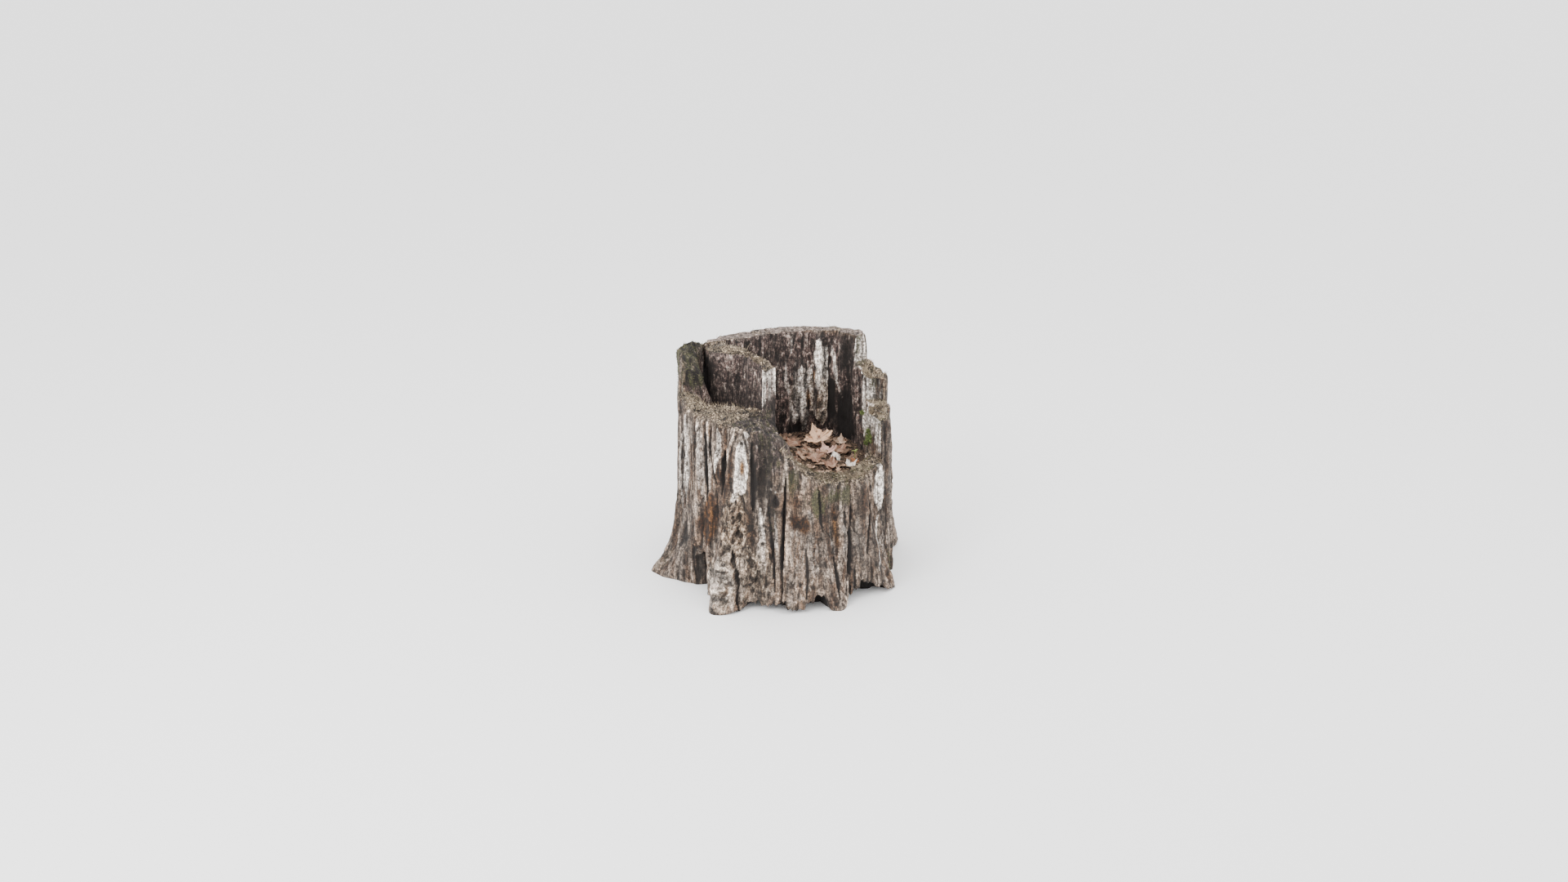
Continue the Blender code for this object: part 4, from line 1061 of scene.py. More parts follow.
def stain_inner_wall(wood):
    """The crevice is painted black at its foot, and its riser darker low down and at the left end, as shade;
    the front end of the inner wall is silver.
    """
    angle, z = wood.angle, wood.z
    foot = wood.stepped * ((wood.across >= CREVICE_ROWS[0]) & (wood.across < CREVICE_ROWS[1]))
    dark = np.maximum(wood.dark, 0.95 * foot)
    dark = np.maximum(dark, wood.riser * (0.26 + 0.36 * smooth((0.80 - z) / 0.10)))
    dark = np.maximum(dark, 0.80 * wood.riser * smooth((-97.0 - angle) / 3.0) * smooth((0.865 - z) / 0.03))
    end = (wood.riser + wood.side) * smooth((angle + 38.0) / 5.0) * smooth((-29.5 - angle) / 0.5)
    stripe = noise(wood.swirl, 0.009, 0.20, 69)
    foot_of_end = 0.720 + 0.02 * wood.wander - 0.06 * stripe
    end = end * smooth((z - foot_of_end) / 0.05) * smooth((0.885 - z) / 0.01)
    wood.bleach = np.maximum(wood.bleach, end * (0.66 + 1.1 * stripe + 0.2 * wood.wander))
    wood.dark = np.maximum(dark * (1.0 - 0.8 * end), 0.6 * end * smooth(-2.0 * stripe - 0.5))
    wood.front_end = end


def stain_slope(wood):
    """Below that end the break slopes down to the lip, dark and mossy."""
    angle, z, places = wood.angle, wood.z, wood.places
    slope = wood.top * smooth((angle + 31.6) / 1.0) * smooth((-1.0 - angle) / 6.0)
    face = wood.outer * smooth((angle + 15.5) / 2.0) * smooth((1.0 - angle) / 4.0)
    slope = np.maximum(slope, face * smooth((z - 0.53) / 0.06))
    wood.frayed = wood.frayed * (1.0 - 0.85 * slope)
    wood.bleach = wood.bleach * (1.0 - 0.7 * slope)
    wood.dark = np.maximum(wood.dark, slope * (0.58 + 0.40 * wood.wander))
    wood.moss = np.maximum(wood.moss, slope * (0.40 - 0.45 * wood.wander))
    lip = wood.fray * smooth((angle + 12.0) / 8.0) * smooth((64.0 - angle) / 6.0)
    wood.moss = np.maximum(wood.moss, 0.50 * lip * smooth(0.5 + 1.5 * noise(places, 0.04, 0.05, 64)))
    wood.slope = slope


def stain_spire(wood):
    """The thin spire at the left end of the rim is lumpy, dark and mossy."""
    spire = smooth((wood.angle + 122.0) / 4.0) * smooth((-84.0 - wood.angle) / 4.0)
    spire = spire * smooth((wood.z - 0.735 - 0.03 * wood.wander) / 0.05) * (wood.top + 0.55 * wood.outer)
    spire = spire * smooth((CREVICE_ROWS[0] - 1.0 - wood.across) / 3.0)
    wood.frayed = wood.frayed * (1.0 - 0.8 * spire)
    wood.relief += 0.006 * spire * noise(wood.places, 0.022, 0.035, 73)
    wood.moss = np.maximum(wood.moss, spire * (0.85 + 0.5 * noise(wood.places, 0.03, 0.05, 74)))
    wood.dark = np.maximum(wood.dark, spire * (0.74 + 0.7 * wood.wander))


def stain_steps(wood):
    """The steps on the right have pale torn faces, and the middle one is hollow and dark outside."""
    angle, way_in = wood.angle, wood.way_in
    steps = wood.top * smooth((angle - 65.0) / 1.0) * smooth((125.7 - angle) / 0.5)
    face = steps * (1.0 - wood.upward)
    middle = smooth((angle - 90.0) / 3.0) * smooth((110.0 - angle) / 3.0)
    pale = 0.85 - middle * (0.60 - 0.70 * smooth((way_in - 0.30) / 0.40))
    wood.bleach = np.maximum(wood.bleach, face * (pale + 0.5 * wood.wander))
    wood.dark = np.maximum(wood.dark, middle * face * (0.40 - 0.50 * way_in + 0.3 * wood.wander))
    wood.relief -= 0.012 * middle * face * bump(way_in - 0.40, 0.35)
    tufts = smooth(0.2 + 1.5 * noise(wood.places, 0.03, 0.05, 65))
    wood.moss = np.maximum(wood.moss, 0.6 * steps * tufts)


def hollow_tone_and_shade_share(wood):
    """Where the wood takes the browner colour of the inside of the hollow, darker there as painted shade, and
    less so on the sunny wall as painted light.
    """
    hollow_tone_and_shade = np.maximum(wood.inner * smooth((0.90 - wood.z) / 0.03), wood.riser * (1.0 - wood.front_end))
    hollow_tone_and_shade = np.maximum(hollow_tone_and_shade, 0.8 * wood.side * smooth((-30.0 - wood.angle) / 1.0))
    hollow_tone_and_shade = np.maximum(hollow_tone_and_shade, wood.slope)
    # The sunny wall of the hollow gets less of the dark, as painted light.
    sunny = 0.7 * wood.inner * smooth((wood.hollow_angle - 48.0) / 8.0)
    return hollow_tone_and_shade * (1.0 - sunny * smooth((108.0 - wood.hollow_angle) / 8.0))


def wood_relief(places, angles, rows_of, depth_scale):
    """Finer relief of the wood in metres, and its patches of colour from 0 to 1, painted shade and painted
    highlight among them.
    """
    wood = wood_zones(places, angles, rows_of)
    for weather in (
        weather_grain, weather_cracks, weather_rot, weather_knot, stain_outside, stain_hollow,
        weather_rim, stain_inner_wall, stain_slope, stain_spire, stain_steps,
    ):
        weather(wood)
    colours = {
        # The dark key holds dark stains and painted shade; the hem's underside is all painted shade.
        "dark": np.maximum(wood.dark, wood.under), "bleach": wood.bleach, "rust": wood.rust,
        "moss": wood.moss, "frayed": wood.frayed, "hollow_tone_and_shade": hollow_tone_and_shade_share(wood),
        # Painted highlight on the ridges of the relief and painted shade in its dips.
        "ridge_and_dip_shade": 0.5 + (wood.relief - blurred(wood.relief, 4, 3)) / RIDGE_HEIGHT,
        "sawn": wood.fray * (1.0 - wood.broken), "rot": wood.rot, "calm": wood.calm,
    }
    shown = smooth((wood.z - 0.004) / 0.012) * (wood.rows >= FLAT_ROWS)
    return wood.relief * depth_scale * shown, colours


def grid_object(name, places, attributes, closed=True):
    """A named mesh object from a grid of places, with its seam and poles merged.

    A closed one is turned outwards. An open one is a sheet.
    """
    rows, columns = places.shape[:2]
    bm = bmesh.new()
    bmesh.ops.create_grid(bm, x_segments=columns - 1, y_segments=rows - 1, size=1.0)
    mesh = bpy.data.meshes.new(name)
    bm.to_mesh(mesh)
    bm.free()
    mesh.vertices.foreach_set("co", places.reshape(-1).astype(np.float32))
    for key, values in attributes.items():
        layer = mesh.attributes.new(key, "FLOAT", "POINT")
        layer.data.foreach_set("value", np.clip(values, 0.0, 1.0).reshape(-1).astype(np.float32))
    bm = bmesh.new()
    bm.from_mesh(mesh)
    bmesh.ops.remove_doubles(bm, verts=bm.verts, dist=0.00001)
    if closed:
        bmesh.ops.recalc_face_normals(bm, faces=bm.faces)
        if bm.calc_volume(signed=True) < 0:
            bmesh.ops.reverse_faces(bm, faces=bm.faces)
    bm.to_mesh(mesh)
    bm.free()
    mesh.shade_smooth()
    made = bpy.data.objects.new(name, mesh)
    bpy.context.scene.collection.objects.link(made)
    return made


def mesh_object(name, bm, smooth_faces=True):
    """A named object from a bmesh, with its faces pointing out."""
    bmesh.ops.recalc_face_normals(bm, faces=bm.faces)
    mesh = bpy.data.meshes.new(name)
    bm.to_mesh(mesh)
    bm.free()
    if smooth_faces:
        mesh.shade_smooth()
    made = bpy.data.objects.new(name, mesh)
    bpy.context.scene.collection.objects.link(made)
    return made


# Materials. Each is made once, and its name is kept here by the short name that it is asked for under.

MADE_MATERIALS = {}


def add_node(tree, kind, settings=None, links=None):
    """Adds a node, sets its sockets and properties, and links sockets of other nodes to it."""
    made = tree.nodes.new(kind)
    for key, value in (settings or {}).items():
        if isinstance(key, str) and hasattr(made, key):
            setattr(made, key, value)
        else:
            made.inputs[key].default_value = value
    for key, source in (links or {}).items():
        tree.links.new(source, made.inputs[key])
    return made


def new_material(name, roughness, ior=1.5):
    """A Principled material with its node tree, ready for a pattern."""
    material = bpy.data.materials.new(name)
    material.use_nodes = True
    shader = material.node_tree.nodes["Principled BSDF"]
    shader.inputs["Roughness"].default_value = roughness
    shader.inputs["IOR"].default_value = ior
    shader.inputs["Metallic"].default_value = 0.0
    return material, material.node_tree, shader


def set_ramp(ramp_node, stops):
    """Gives a colour ramp its stops, each a place and a hex colour, and returns its colour."""
    elements = ramp_node.color_ramp.elements
    while len(elements) > 1:
        elements.remove(elements[-1])
    elements[0].position = stops[0][0]
    elements[0].color = (*linear(stops[0][1]), 1.0)
    for place, colour in stops[1:]:
        element = elements.new(place)
        element.color = (*linear(colour), 1.0)
    return ramp_node.outputs[0]


def lay_coats(tree, colour, coats):
    """Lays coats over a colour in turn: the share that shows, a colour or a pattern, and its blend."""
    for share, over, blend in coats:
        settings = {"data_type": "RGBA", "blend_type": blend}
        links = {6: colour}
        if isinstance(share, float):
            settings[0] = share
        else:
            links[0] = share
        if isinstance(over, str):
            settings[7] = (*linear(over), 1.0)
        else:
            links[7] = over
        colour = add_node(tree, "ShaderNodeMix", settings, links).outputs[2]
    return colour


def shade_by(tree, colour, pattern, low, high, darkest, lightest, share=1.0):
    """Darkens a colour where a pattern is low and lightens it where it is high."""
    settings = {1: low, 2: high, 3: darkest, 4: lightest}
    shade = add_node(tree, "ShaderNodeMapRange", settings, {0: pattern}).outputs[0]
    return lay_coats(tree, colour, ((share, shade, "MULTIPLY"),))


def grain_noise(tree, place, size_mm, detail, roughness=0.5, stretch=1.0):
    """Noise with lumps of a real size. A stretch under 1 draws them out up the trunk."""
    mapping = add_node(tree, "ShaderNodeMapping", {"Scale": (1.0, 1.0, stretch)}, {"Vector": place})
    settings = {"Scale": 1000.0 / size_mm, "Detail": detail, "Roughness": roughness}
    return add_node(tree, "ShaderNodeTexNoise", settings, {"Vector": mapping.outputs[0]}).outputs[0]


def ragged_factor(tree, name, grain, gain, cut):
    """An attribute whose edge is broken up by the grain, from 0 to 1."""
    attribute = add_node(tree, "ShaderNodeAttribute", {"attribute_name": name}).outputs["Fac"]
    raised = add_node(tree, "ShaderNodeMath", {"operation": "MULTIPLY", 1: gain}, {0: attribute}).outputs[0]
    cutting = add_node(tree, "ShaderNodeMath", {"operation": "MULTIPLY", 1: cut}, {0: grain}).outputs[0]
    settings = {"operation": "SUBTRACT", "use_clamp": True}
    return add_node(tree, "ShaderNodeMath", settings, {0: raised, 1: cutting}).outputs[0]


def colour_and_bump(tree, shader, colour, height, strength, depth):
    """Gives a material its colour and its finest relief, of a depth in metres."""
    tree.links.new(colour, shader.inputs["Base Color"])
    settings = {"Strength": strength, "Distance": depth}
    bumped = add_node(tree, "ShaderNodeBump", settings, {"Height": height})
    tree.links.new(bumped.outputs[0], shader.inputs["Normal"])


def wood_patterns(tree, place):
    """The wood's patterns, in millimetres across the grain.

    Marks run across the grain, 45 mm wide and 15 mm tall. Clouds and specks have no grain.
    """
    return SimpleNamespace(
        bands=grain_noise(tree, place, 30.0, 5.0, 0.65, 0.10),
        streaks=grain_noise(tree, place, 8.0, 4.0, 0.7, 0.15),
        lines=grain_noise(tree, place, 3.5, 3.0, 0.7, 0.09),
        flecks=grain_noise(tree, place, 12.0, 5.0, 0.75, 0.42),
        grit=grain_noise(tree, place, 12.0, 4.0, 0.75, 0.80),
        panels=grain_noise(tree, place, 75.0, 2.0, 0.5, 0.28),
        marks=grain_noise(tree, place, 45.0, 4.0, 0.65, 3.0),
        clouds=grain_noise(tree, place, 143.0, 4.0),
        specks=grain_noise(tree, place, 6.25, 4.0),
    )


def bare_wood(tree, grain):
    """The outside is brown in the dips and silver on the ridges, in broad panels. The hollow is browner, and
    darker as painted shade.
    """
    base = add_node(tree, "ShaderNodeValToRGB", {}, {0: grain.bands})
    base = set_ramp(base, ((0.30, WOOD_DEEP), (0.40, WOOD_BROWN), (0.49, WOOD_GREY), (0.62, WOOD_LIGHT)))
    warm = add_node(tree, "ShaderNodeMapRange", {1: 0.42, 2: 0.66, 3: 0.0, 4: 0.65}, {0: grain.clouds})
    colour = lay_coats(tree, base, ((warm.outputs[0], WOOD_WARM, "MIX"),))
    colour = shade_by(tree, colour, grain.panels, 0.36, 0.64, 0.50, 1.26)
    hollow = add_node(tree, "ShaderNodeValToRGB", {}, {0: grain.flecks})
    stops = ((0.35, HOLLOW_DEEP), (0.45, HOLLOW_BROWN), (0.54, HOLLOW_TAN), (0.66, HOLLOW_PALE))
    hollow_tone_and_shade = ragged_factor(tree, "hollow_tone_and_shade", grain.streaks, 1.2, 0.25)
    return lay_coats(tree, colour, ((hollow_tone_and_shade, set_ramp(hollow, stops), "MIX"),))


def broken_and_sawn(tree, place, grain, colour):
    """Broken ends are matted tan fibre, and sawn ends show growth rings."""
    fibre = add_node(tree, "ShaderNodeValToRGB", {}, {0: grain.specks})
    fibre = set_ramp(fibre, ((0.36, FRAY_DEEP), (0.46, FRAY_BROWN), (0.56, FRAY_TAN), (0.70, FRAY_PALE)))
    rings = add_node(tree, "ShaderNodeValToRGB", {}, {0: growth_rings(tree, place)})
    rings = set_ramp(rings, ((0.20, RING_DARK), (0.55, RING_MIDDLE), (0.90, RING_LIGHT)))
    sawn = add_node(tree, "ShaderNodeAttribute", {"attribute_name": "sawn"}).outputs["Fac"]
    frayed = ragged_factor(tree, "frayed", grain.streaks, 1.3, 0.35)
    return lay_coats(tree, colour, ((frayed, fibre, "MIX"), (sawn, rings, "MIX")))


def bleached_and_rotted(tree, grain, colour):
    """Bare wood is bleached silver to cream, soft rot is tan, and rust stains what is under it."""
    bleached = add_node(tree, "ShaderNodeValToRGB", {}, {0: grain.grit})
    stops = ((0.34, BLEACHED_DARK), (0.47, BLEACHED_SILVER), (0.62, BLEACHED_CREAM))
    bleached = set_ramp(bleached, stops)
    rotted = add_node(tree, "ShaderNodeValToRGB", {}, {0: grain.flecks})
    rotted = set_ramp(rotted, ((0.36, ROT_BROWN), (0.48, ROT_TAN), (0.64, ROT_CREAM)))
    return lay_coats(tree, colour, (
        (ragged_factor(tree, "bleach", grain.streaks, 1.5, 0.95), bleached, "MIX"),
        (ragged_factor(tree, "rot", grain.specks, 0.9, 0.35), rotted, "MIX"),
        (ragged_factor(tree, "rust", grain.streaks, 1.60, 0.45), WOOD_RUST, "MULTIPLY"),
    ))


def grain_shading(tree, grain, colour):
    """Painted highlight on the ridges and painted shade in the dips, then grain lines, grit, specks, marks
    and streaks.
    """
    ridge_and_dip_shade = add_node(tree, "ShaderNodeAttribute", {"attribute_name": "ridge_and_dip_shade"}).outputs["Fac"]
    colour = shade_by(tree, colour, ridge_and_dip_shade, 0.12, 0.88, 0.28, 1.62)
    colour = shade_by(tree, colour, grain.lines, 0.36, 0.54, 0.45, 1.12)
    colour = shade_by(tree, colour, grain.grit, 0.36, 0.63, 0.36, 1.60)
    colour = shade_by(tree, colour, grain.specks, 0.38, 0.62, 0.48, 1.50)
    colour = shade_by(tree, colour, grain.marks, 0.36, 0.64, 0.62, 1.38)
    calm = add_node(tree, "ShaderNodeAttribute", {"attribute_name": "calm"}).outputs["Fac"]
    lively = add_node(tree, "ShaderNodeMapRange", {1: 0.0, 2: 1.0, 3: 1.0, 4: 0.45}, {0: calm}).outputs[0]
    return shade_by(tree, colour, grain.streaks, 0.36, 0.56, 0.42, 1.20, lively)


def weathered_wood():
    """Wood left bare for years: silver-grey grain lines, rust stains, cracks painted black as shade, and
    moss.
    """
    material, tree, shader = new_material("weathered grey wood", 0.88, 1.5)
    place = add_node(tree, "ShaderNodeTexCoord").outputs["Object"]
    grain = wood_patterns(tree, place)
    colour = bare_wood(tree, grain)
    colour = broken_and_sawn(tree, place, grain, colour)
    colour = bleached_and_rotted(tree, grain, colour)
    colour = grain_shading(tree, grain, colour)
    moss = add_node(tree, "ShaderNodeValToRGB", {}, {0: grain.specks})
    moss = set_ramp(moss, ((0.38, MOSS_DEEP), (0.52, MOSS_DARK), (0.68, MOSS_OLIVE)))
    colour = lay_coats(tree, colour, (
        (ragged_factor(tree, "moss", grain.specks, 1.35, 0.95), moss, "MIX"),
        # The dark coat: dark stains, and painted shade in cracks, holes, creases, the crevice and under the
        # hem.
        (ragged_factor(tree, "dark", grain.streaks, 1.3, 0.3), SHADE_AND_STAIN_BLACK, "MIX"),
    ))
    height = add_node(tree, "ShaderNodeMath", {"operation": "MULTIPLY", 1: 0.8}, {0: grain.streaks})
    links = {0: height.outputs[0], 1: grain.lines}
    height = add_node(tree, "ShaderNodeMath", {"operation": "ADD"}, links).outputs[0]
    colour_and_bump(tree, shader, colour, height, 0.9, 0.004)
    return material


def growth_rings(tree, place):
    """Rings about 4 mm apart round the upright axis, made a little uneven."""
    settings = {"Scale": 1000.0 / RING_SWING_MM, "Detail": 3.0}
    swing = add_node(tree, "ShaderNodeTexNoise", settings, {"Vector": place}).outputs["Color"]
    settings = {"operation": "SCALE", "Scale": 0.05}
    swing = add_node(tree, "ShaderNodeVectorMath", settings, {0: swing}).outputs[0]
    moved = add_node(tree, "ShaderNodeVectorMath", {"operation": "ADD"}, {0: place, 1: swing}).outputs[0]
    scale = 1000.0 * WAVE_LENGTH / RING_SPACING_MM
    settings = {"wave_type": "RINGS", "rings_direction": "Z"}
    settings.update({"Scale": scale, "Distortion": 1.5, "Detail": 2.0})
    return add_node(tree, "ShaderNodeTexWave", settings, {"Vector": moved}).outputs["Fac"]


def crumbly_humus():
    """Damp rotted wood and soil: nearly black, in crumbs of a few millimetres."""
    material, tree, shader = new_material("crumbly humus", 0.95, 1.4)
    place = add_node(tree, "ShaderNodeTexCoord").outputs["Object"]
    crumbs = grain_noise(tree, place, 6.25, 6.0)
    ramp = add_node(tree, "ShaderNodeValToRGB", {}, {0: crumbs})
    colour = set_ramp(ramp, ((0.38, HUMUS_DARK), (0.56, HUMUS_BROWN), (0.72, HUMUS_TAN)))
    colour_and_bump(tree, shader, colour, crumbs, 0.9, 0.003)
    return material


def dry_leaf(name, blade):
    """A dry fallen leaf: papery, with 22 mm blotches, 3 mm mottling and paler ribs."""
    material, tree, shader = new_material(name, 0.72, 1.45)
    place = add_node(tree, "ShaderNodeTexCoord").outputs["Object"]
    mottling = grain_noise(tree, place, 3.125, 3.0)
    ramp = add_node(tree, "ShaderNodeValToRGB", {}, {0: grain_noise(tree, place, 22.2, 5.0)})
    colour = set_ramp(ramp, ((0.28, LEAF_SPOT), (0.44, blade), (0.75, blade)))
    colour = shade_by(tree, colour, mottling, 0.35, 0.65, 0.78, 1.08)
    rib = add_node(tree, "ShaderNodeAttribute", {"attribute_name": "rib"}).outputs["Fac"]
    rib = add_node(tree, "ShaderNodeMath", {"operation": "MULTIPLY", 1: 0.45}, {0: rib}).outputs[0]
    colour = lay_coats(tree, colour, ((rib, LEAF_RIB, "MIX"),))
    colour_and_bump(tree, shader, colour, mottling, 0.5, 0.001)
    return material


def plain_growth(name, deep, fresh, size_mm, roughness):
    """Twig bark, crumbs or seedling green: two tones mixed by noise of a given size."""
    material, tree, shader = new_material(name, roughness, 1.45)
    place = add_node(tree, "ShaderNodeTexCoord").outputs["Object"]
    tone = grain_noise(tree, place, size_mm, 4.0)
    ramp = add_node(tree, "ShaderNodeValToRGB", {}, {0: tone})
    colour_and_bump(tree, shader, set_ramp(ramp, ((0.36, deep), (0.64, fresh))), tone, 0.4, 0.001)
    return material


def toned(name, deep, fresh, roughness=0.9):
    """Fibres or shoots whose colour comes from the tone that each was given."""
    material, tree, shader = new_material(name, roughness, 1.45)
    tone = add_node(tree, "ShaderNodeAttribute", {"attribute_name": "tone"}).outputs["Fac"]
    ramp = add_node(tree, "ShaderNodeValToRGB", {}, {0: tone})
    tree.links.new(set_ramp(ramp, ((0.0, deep), (1.0, fresh))), shader.inputs["Base Color"])
    return material


def material_once(name, maker):
    """Makes a material the first time it is asked for."""
    if name not in MADE_MATERIALS:
        MADE_MATERIALS[name] = maker().name
    return bpy.data.materials[MADE_MATERIALS[name]]


def finish_piece(piece, material, replaced=()):
    """Gives a piece its material and its body, and hides the solids that it stands for."""
    piece.data.materials.clear()
    piece.data.materials.append(material)
    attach(piece, "root")
    if replaced:
        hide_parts(*replaced)


# Building the pieces.


def build_wood(depth_scale):
    """The trunk, in one grid."""
    angles = column_angles()
    hem = around(HEM_HEIGHT, angles)
    hem = np.maximum(hem + HEM_TEETH * stave_ends(angles, 55) * smooth(hem / 0.02), 0.0)
    hem[-1] = hem[0]
    broken = 1.0 - sawn_share(angles)
    high = around(OUTER_EDGE, angles) + (0.0006 + 0.0075 * broken) * stave_ends(angles, 81)
    inner_high = around(INNER_EDGE, angles) + (0.0006 + 0.0060 * broken) * stave_ends(angles, 91)
    high[-1], inner_high[-1] = high[0], inner_high[0]
    rows = foot_rows(angles, hem)
    first_outer = len(rows)
    rows += outer_rows(angles, hem, high)
    first_top = len(rows)
    start = rows[-1]
    end = hollow_places(angles, inner_high)
    rows += top_rows(angles, start, end)
    first_inner = len(rows)
    rows += inner_rows(angles, inner_high)
    places = np.array(rows)
    places[:, -1] = places[:, 0]
    relief, colours = wood_relief(places, angles, (first_outer, first_top, first_inner), depth_scale)
    shaped = places + grid_normals(places) * relief[..., None]
    shaped[..., 2] = np.maximum(shaped[..., 2], 0.0)
    shaped[:3, :, 2] = 0.0
    shaped[:, -1] = shaped[:, 0]
    for values in colours.values():
        values[:, -1] = values[:, 0]
    return grid_object("weathered_trunk", shaped, colours)


def humus_height(angle, share):
    """The top of the humus in its solid."""
    a = np.radians(angle)
    x = share * np.sin(a)
    y = -share * np.cos(a)
    lumps = np.sin(7.3 * x + 1.0) * np.cos(6.1 * y - 0.5) + 0.6 * np.sin(15.0 * x - 9.0 * y)
    return HUMUS_LEVEL + 0.005 * y + 0.0035 * lumps


def humus_over(x, y):
    """Height of the humus over a place in plan."""
    angle = np.degrees(np.arctan2(x - HOLLOW_X, -(y - HOLLOW_Y)))
    reach = np.hypot(x - HOLLOW_X, y - HOLLOW_Y)
    share = np.minimum(reach / curve_around(HOLLOW_OUTLINE, angle), 1.0)
    return humus_height(angle, share)


def build_humus():
    """The humus, with a crumbly top that is banked a little against the wall."""
    angles = np.linspace(-180.0, 180.0, HUMUS_COLUMNS)
    shares = np.linspace(1.0, 0.0, HUMUS_ROWS)
    floor = HOLLOW_FLOOR + SEAT_GAP
    rows = [hollow_places(angles, floor + 0 * angles, share) for share in (0.0, 0.5, HUMUS_REACH)]
    under = len(rows)
    for share in shares:
        row = hollow_places(angles, HUMUS_LEVEL + 0 * angles, share * HUMUS_REACH)
        row[:, 2] = humus_height(angles, share)
        rows.append(row)
    places = np.array(rows)
    crumbs = cells(places, 0.010, 0.010, 101)[0]
    rough = 0.0022 * crumbs + 0.0016 * noise(places, 0.006, 0.006, 102) - 0.0022
    rough = rough + 0.004 * noise(places, 0.05, 0.05, 103) - 0.002
    places[under:, :, 2] += rough[under:]
    bank = np.array([0.0] * under + [max(0.0, share - 0.90) / 0.10 for share in shares])
    places[..., 2] += 0.010 * (bank**2)[:, None] * (0.6 + 0.4 * noise(places, 0.05, 0.05, 104))
    places[:, -1] = places[:, 0]
    return grid_object("humus_bed", places, {})


def thicken(sheet, thickness, offset=-1.0):
    """Gives a sheet its thickness."""
    solidify = sheet.modifiers.new("blade", "SOLIDIFY")
    solidify.thickness = thickness
    solidify.offset = offset


def leaf_lift(x, y, curl):
    """How a dry leaf cups and folds along its ribs, in metres."""
    angle = np.arctan2(x, y - LEAF_HEART[1])
    reach = x * x + (y - LEAF_HEART[1]) ** 2
    return curl * reach * (1.0 + 0.45 * np.cos(5.0 * angle)) + 0.35 * curl * x * y


def leaf_outline(seed):
    """The leaf's outline with small teeth between its main points."""
    half = list(LEAF_HALF)
    outline = half + [LEAF_TIP] + [(-px, py) for px, py in reversed(half)]
    draw = random.Random(seed)
    points = []
    for index, (px, py) in enumerate(outline):
        qx, qy = outline[(index + 1) % len(outline)]
        length = math.hypot(qx - px, qy - py)
        pieces = 1 if length < 0.12 or abs(px) < 0.03 else 4
        for step in range(pieces):
            share = step / pieces
            nx, ny = (qy - py) / length, -(qx - px) / length
            edge = LEAF_TOOTH if step % 2 else LEAF_NOTCH
            tooth = 0.0 if step == 0 else edge * draw.uniform(0.5, 1.3)
            points.append((px + (qx - px) * share + nx * tooth, py + (qy - py) * share + ny * tooth))
    return np.array(points + points[:1])


def rib_strength(x, y):
    """1 on a rib or vein of the leaf, 0 between them."""
    base = np.array(LEAF_RIB_FOOT)
    strength = np.zeros(x.shape)
    for tip_x, tip_y in LEAF_RIBS:
        way = np.array([tip_x, tip_y]) - base
        length = np.hypot(*way)
        way = way / length
        along = (x - base[0]) * way[0] + (y - base[1]) * way[1]
        off = np.abs((x - base[0]) * way[1] - (y - base[1]) * way[0])
        width = 0.030 * (1.0 - 0.7 * np.clip(along / length, 0, 1))
        inside = (along > -0.02) & (along < length)
        strength = np.maximum(strength, smooth(1.4 - off / width) * inside)
        side = np.abs(((along - off) / 0.16) % 1.0 - 0.5)
        fine = smooth((side - 0.42) / 0.06) * smooth((0.24 - off) / 0.05) * inside
        strength = np.maximum(strength, 0.45 * fine)
    return np.maximum(strength, (y < -0.31) & (np.abs(x) < 0.03))


def build_leaf(name, x, y, size, turned, tilt, curl, seed):
    """A dry lobed leaf with a stalk, ribs and crumpled edges, laid where its solid lies."""
    outline = leaf_outline(seed)
    heart = np.array(LEAF_HEART)
    rows = []
    reach = []
    for share in (1.0, 0.93, 0.82, 0.68, 0.54, 0.40, 0.27, 0.14, 0.0):
        rows.append(heart + (outline - heart) * share)
        reach.append(np.full(len(outline), share))
    flat = np.array(rows)
    reach = np.array(reach)
    px, py = flat[..., 0], flat[..., 1]
    place = np.stack([px * size, py * size, leaf_lift(px, py, curl) + LEAF_THICKNESS], axis=-1)
    laid = Matrix.Translation((x, y, 0.0))
    laid = laid @ Matrix.Rotation(math.radians(tilt), 4, "X")
    laid = laid @ Matrix.Rotation(math.radians(turned), 4, "Z")
    turn_by = np.array(laid.to_3x3())
    solid = place.copy()
    solid[..., 2] -= LEAF_THICKNESS
    lowest = (solid @ turn_by.T)[..., 2].min()
    seeded = np.stack([place[..., 0] + seed, place[..., 1], place[..., 2]], axis=-1)
    ribs = rib_strength(px, py)
    crumple = 0.0022 * noise(seeded, 0.016, 0.02, 5) + 0.0012 * noise(seeded, 0.007, 0.01, 6)
    edge = 0.007 * reach**5 * (0.6 + noise(seeded, 0.03, 0.03, 7)) * np.sign(curl)
    place[..., 2] += crumple * smooth(reach / 0.3) + edge - 0.0004 * ribs
    place = place @ turn_by.T
    place[..., 0] += x
    place[..., 1] += y
    place[..., 2] += float(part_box(name)[0][2]) - lowest
    made = grid_object(name + "_blade", place, {"rib": ribs}, closed=False)
    thicken(made, BLADE_THICKNESS, -1.0 if made.data.polygons[0].normal.z > 0 else 1.0)
    return made


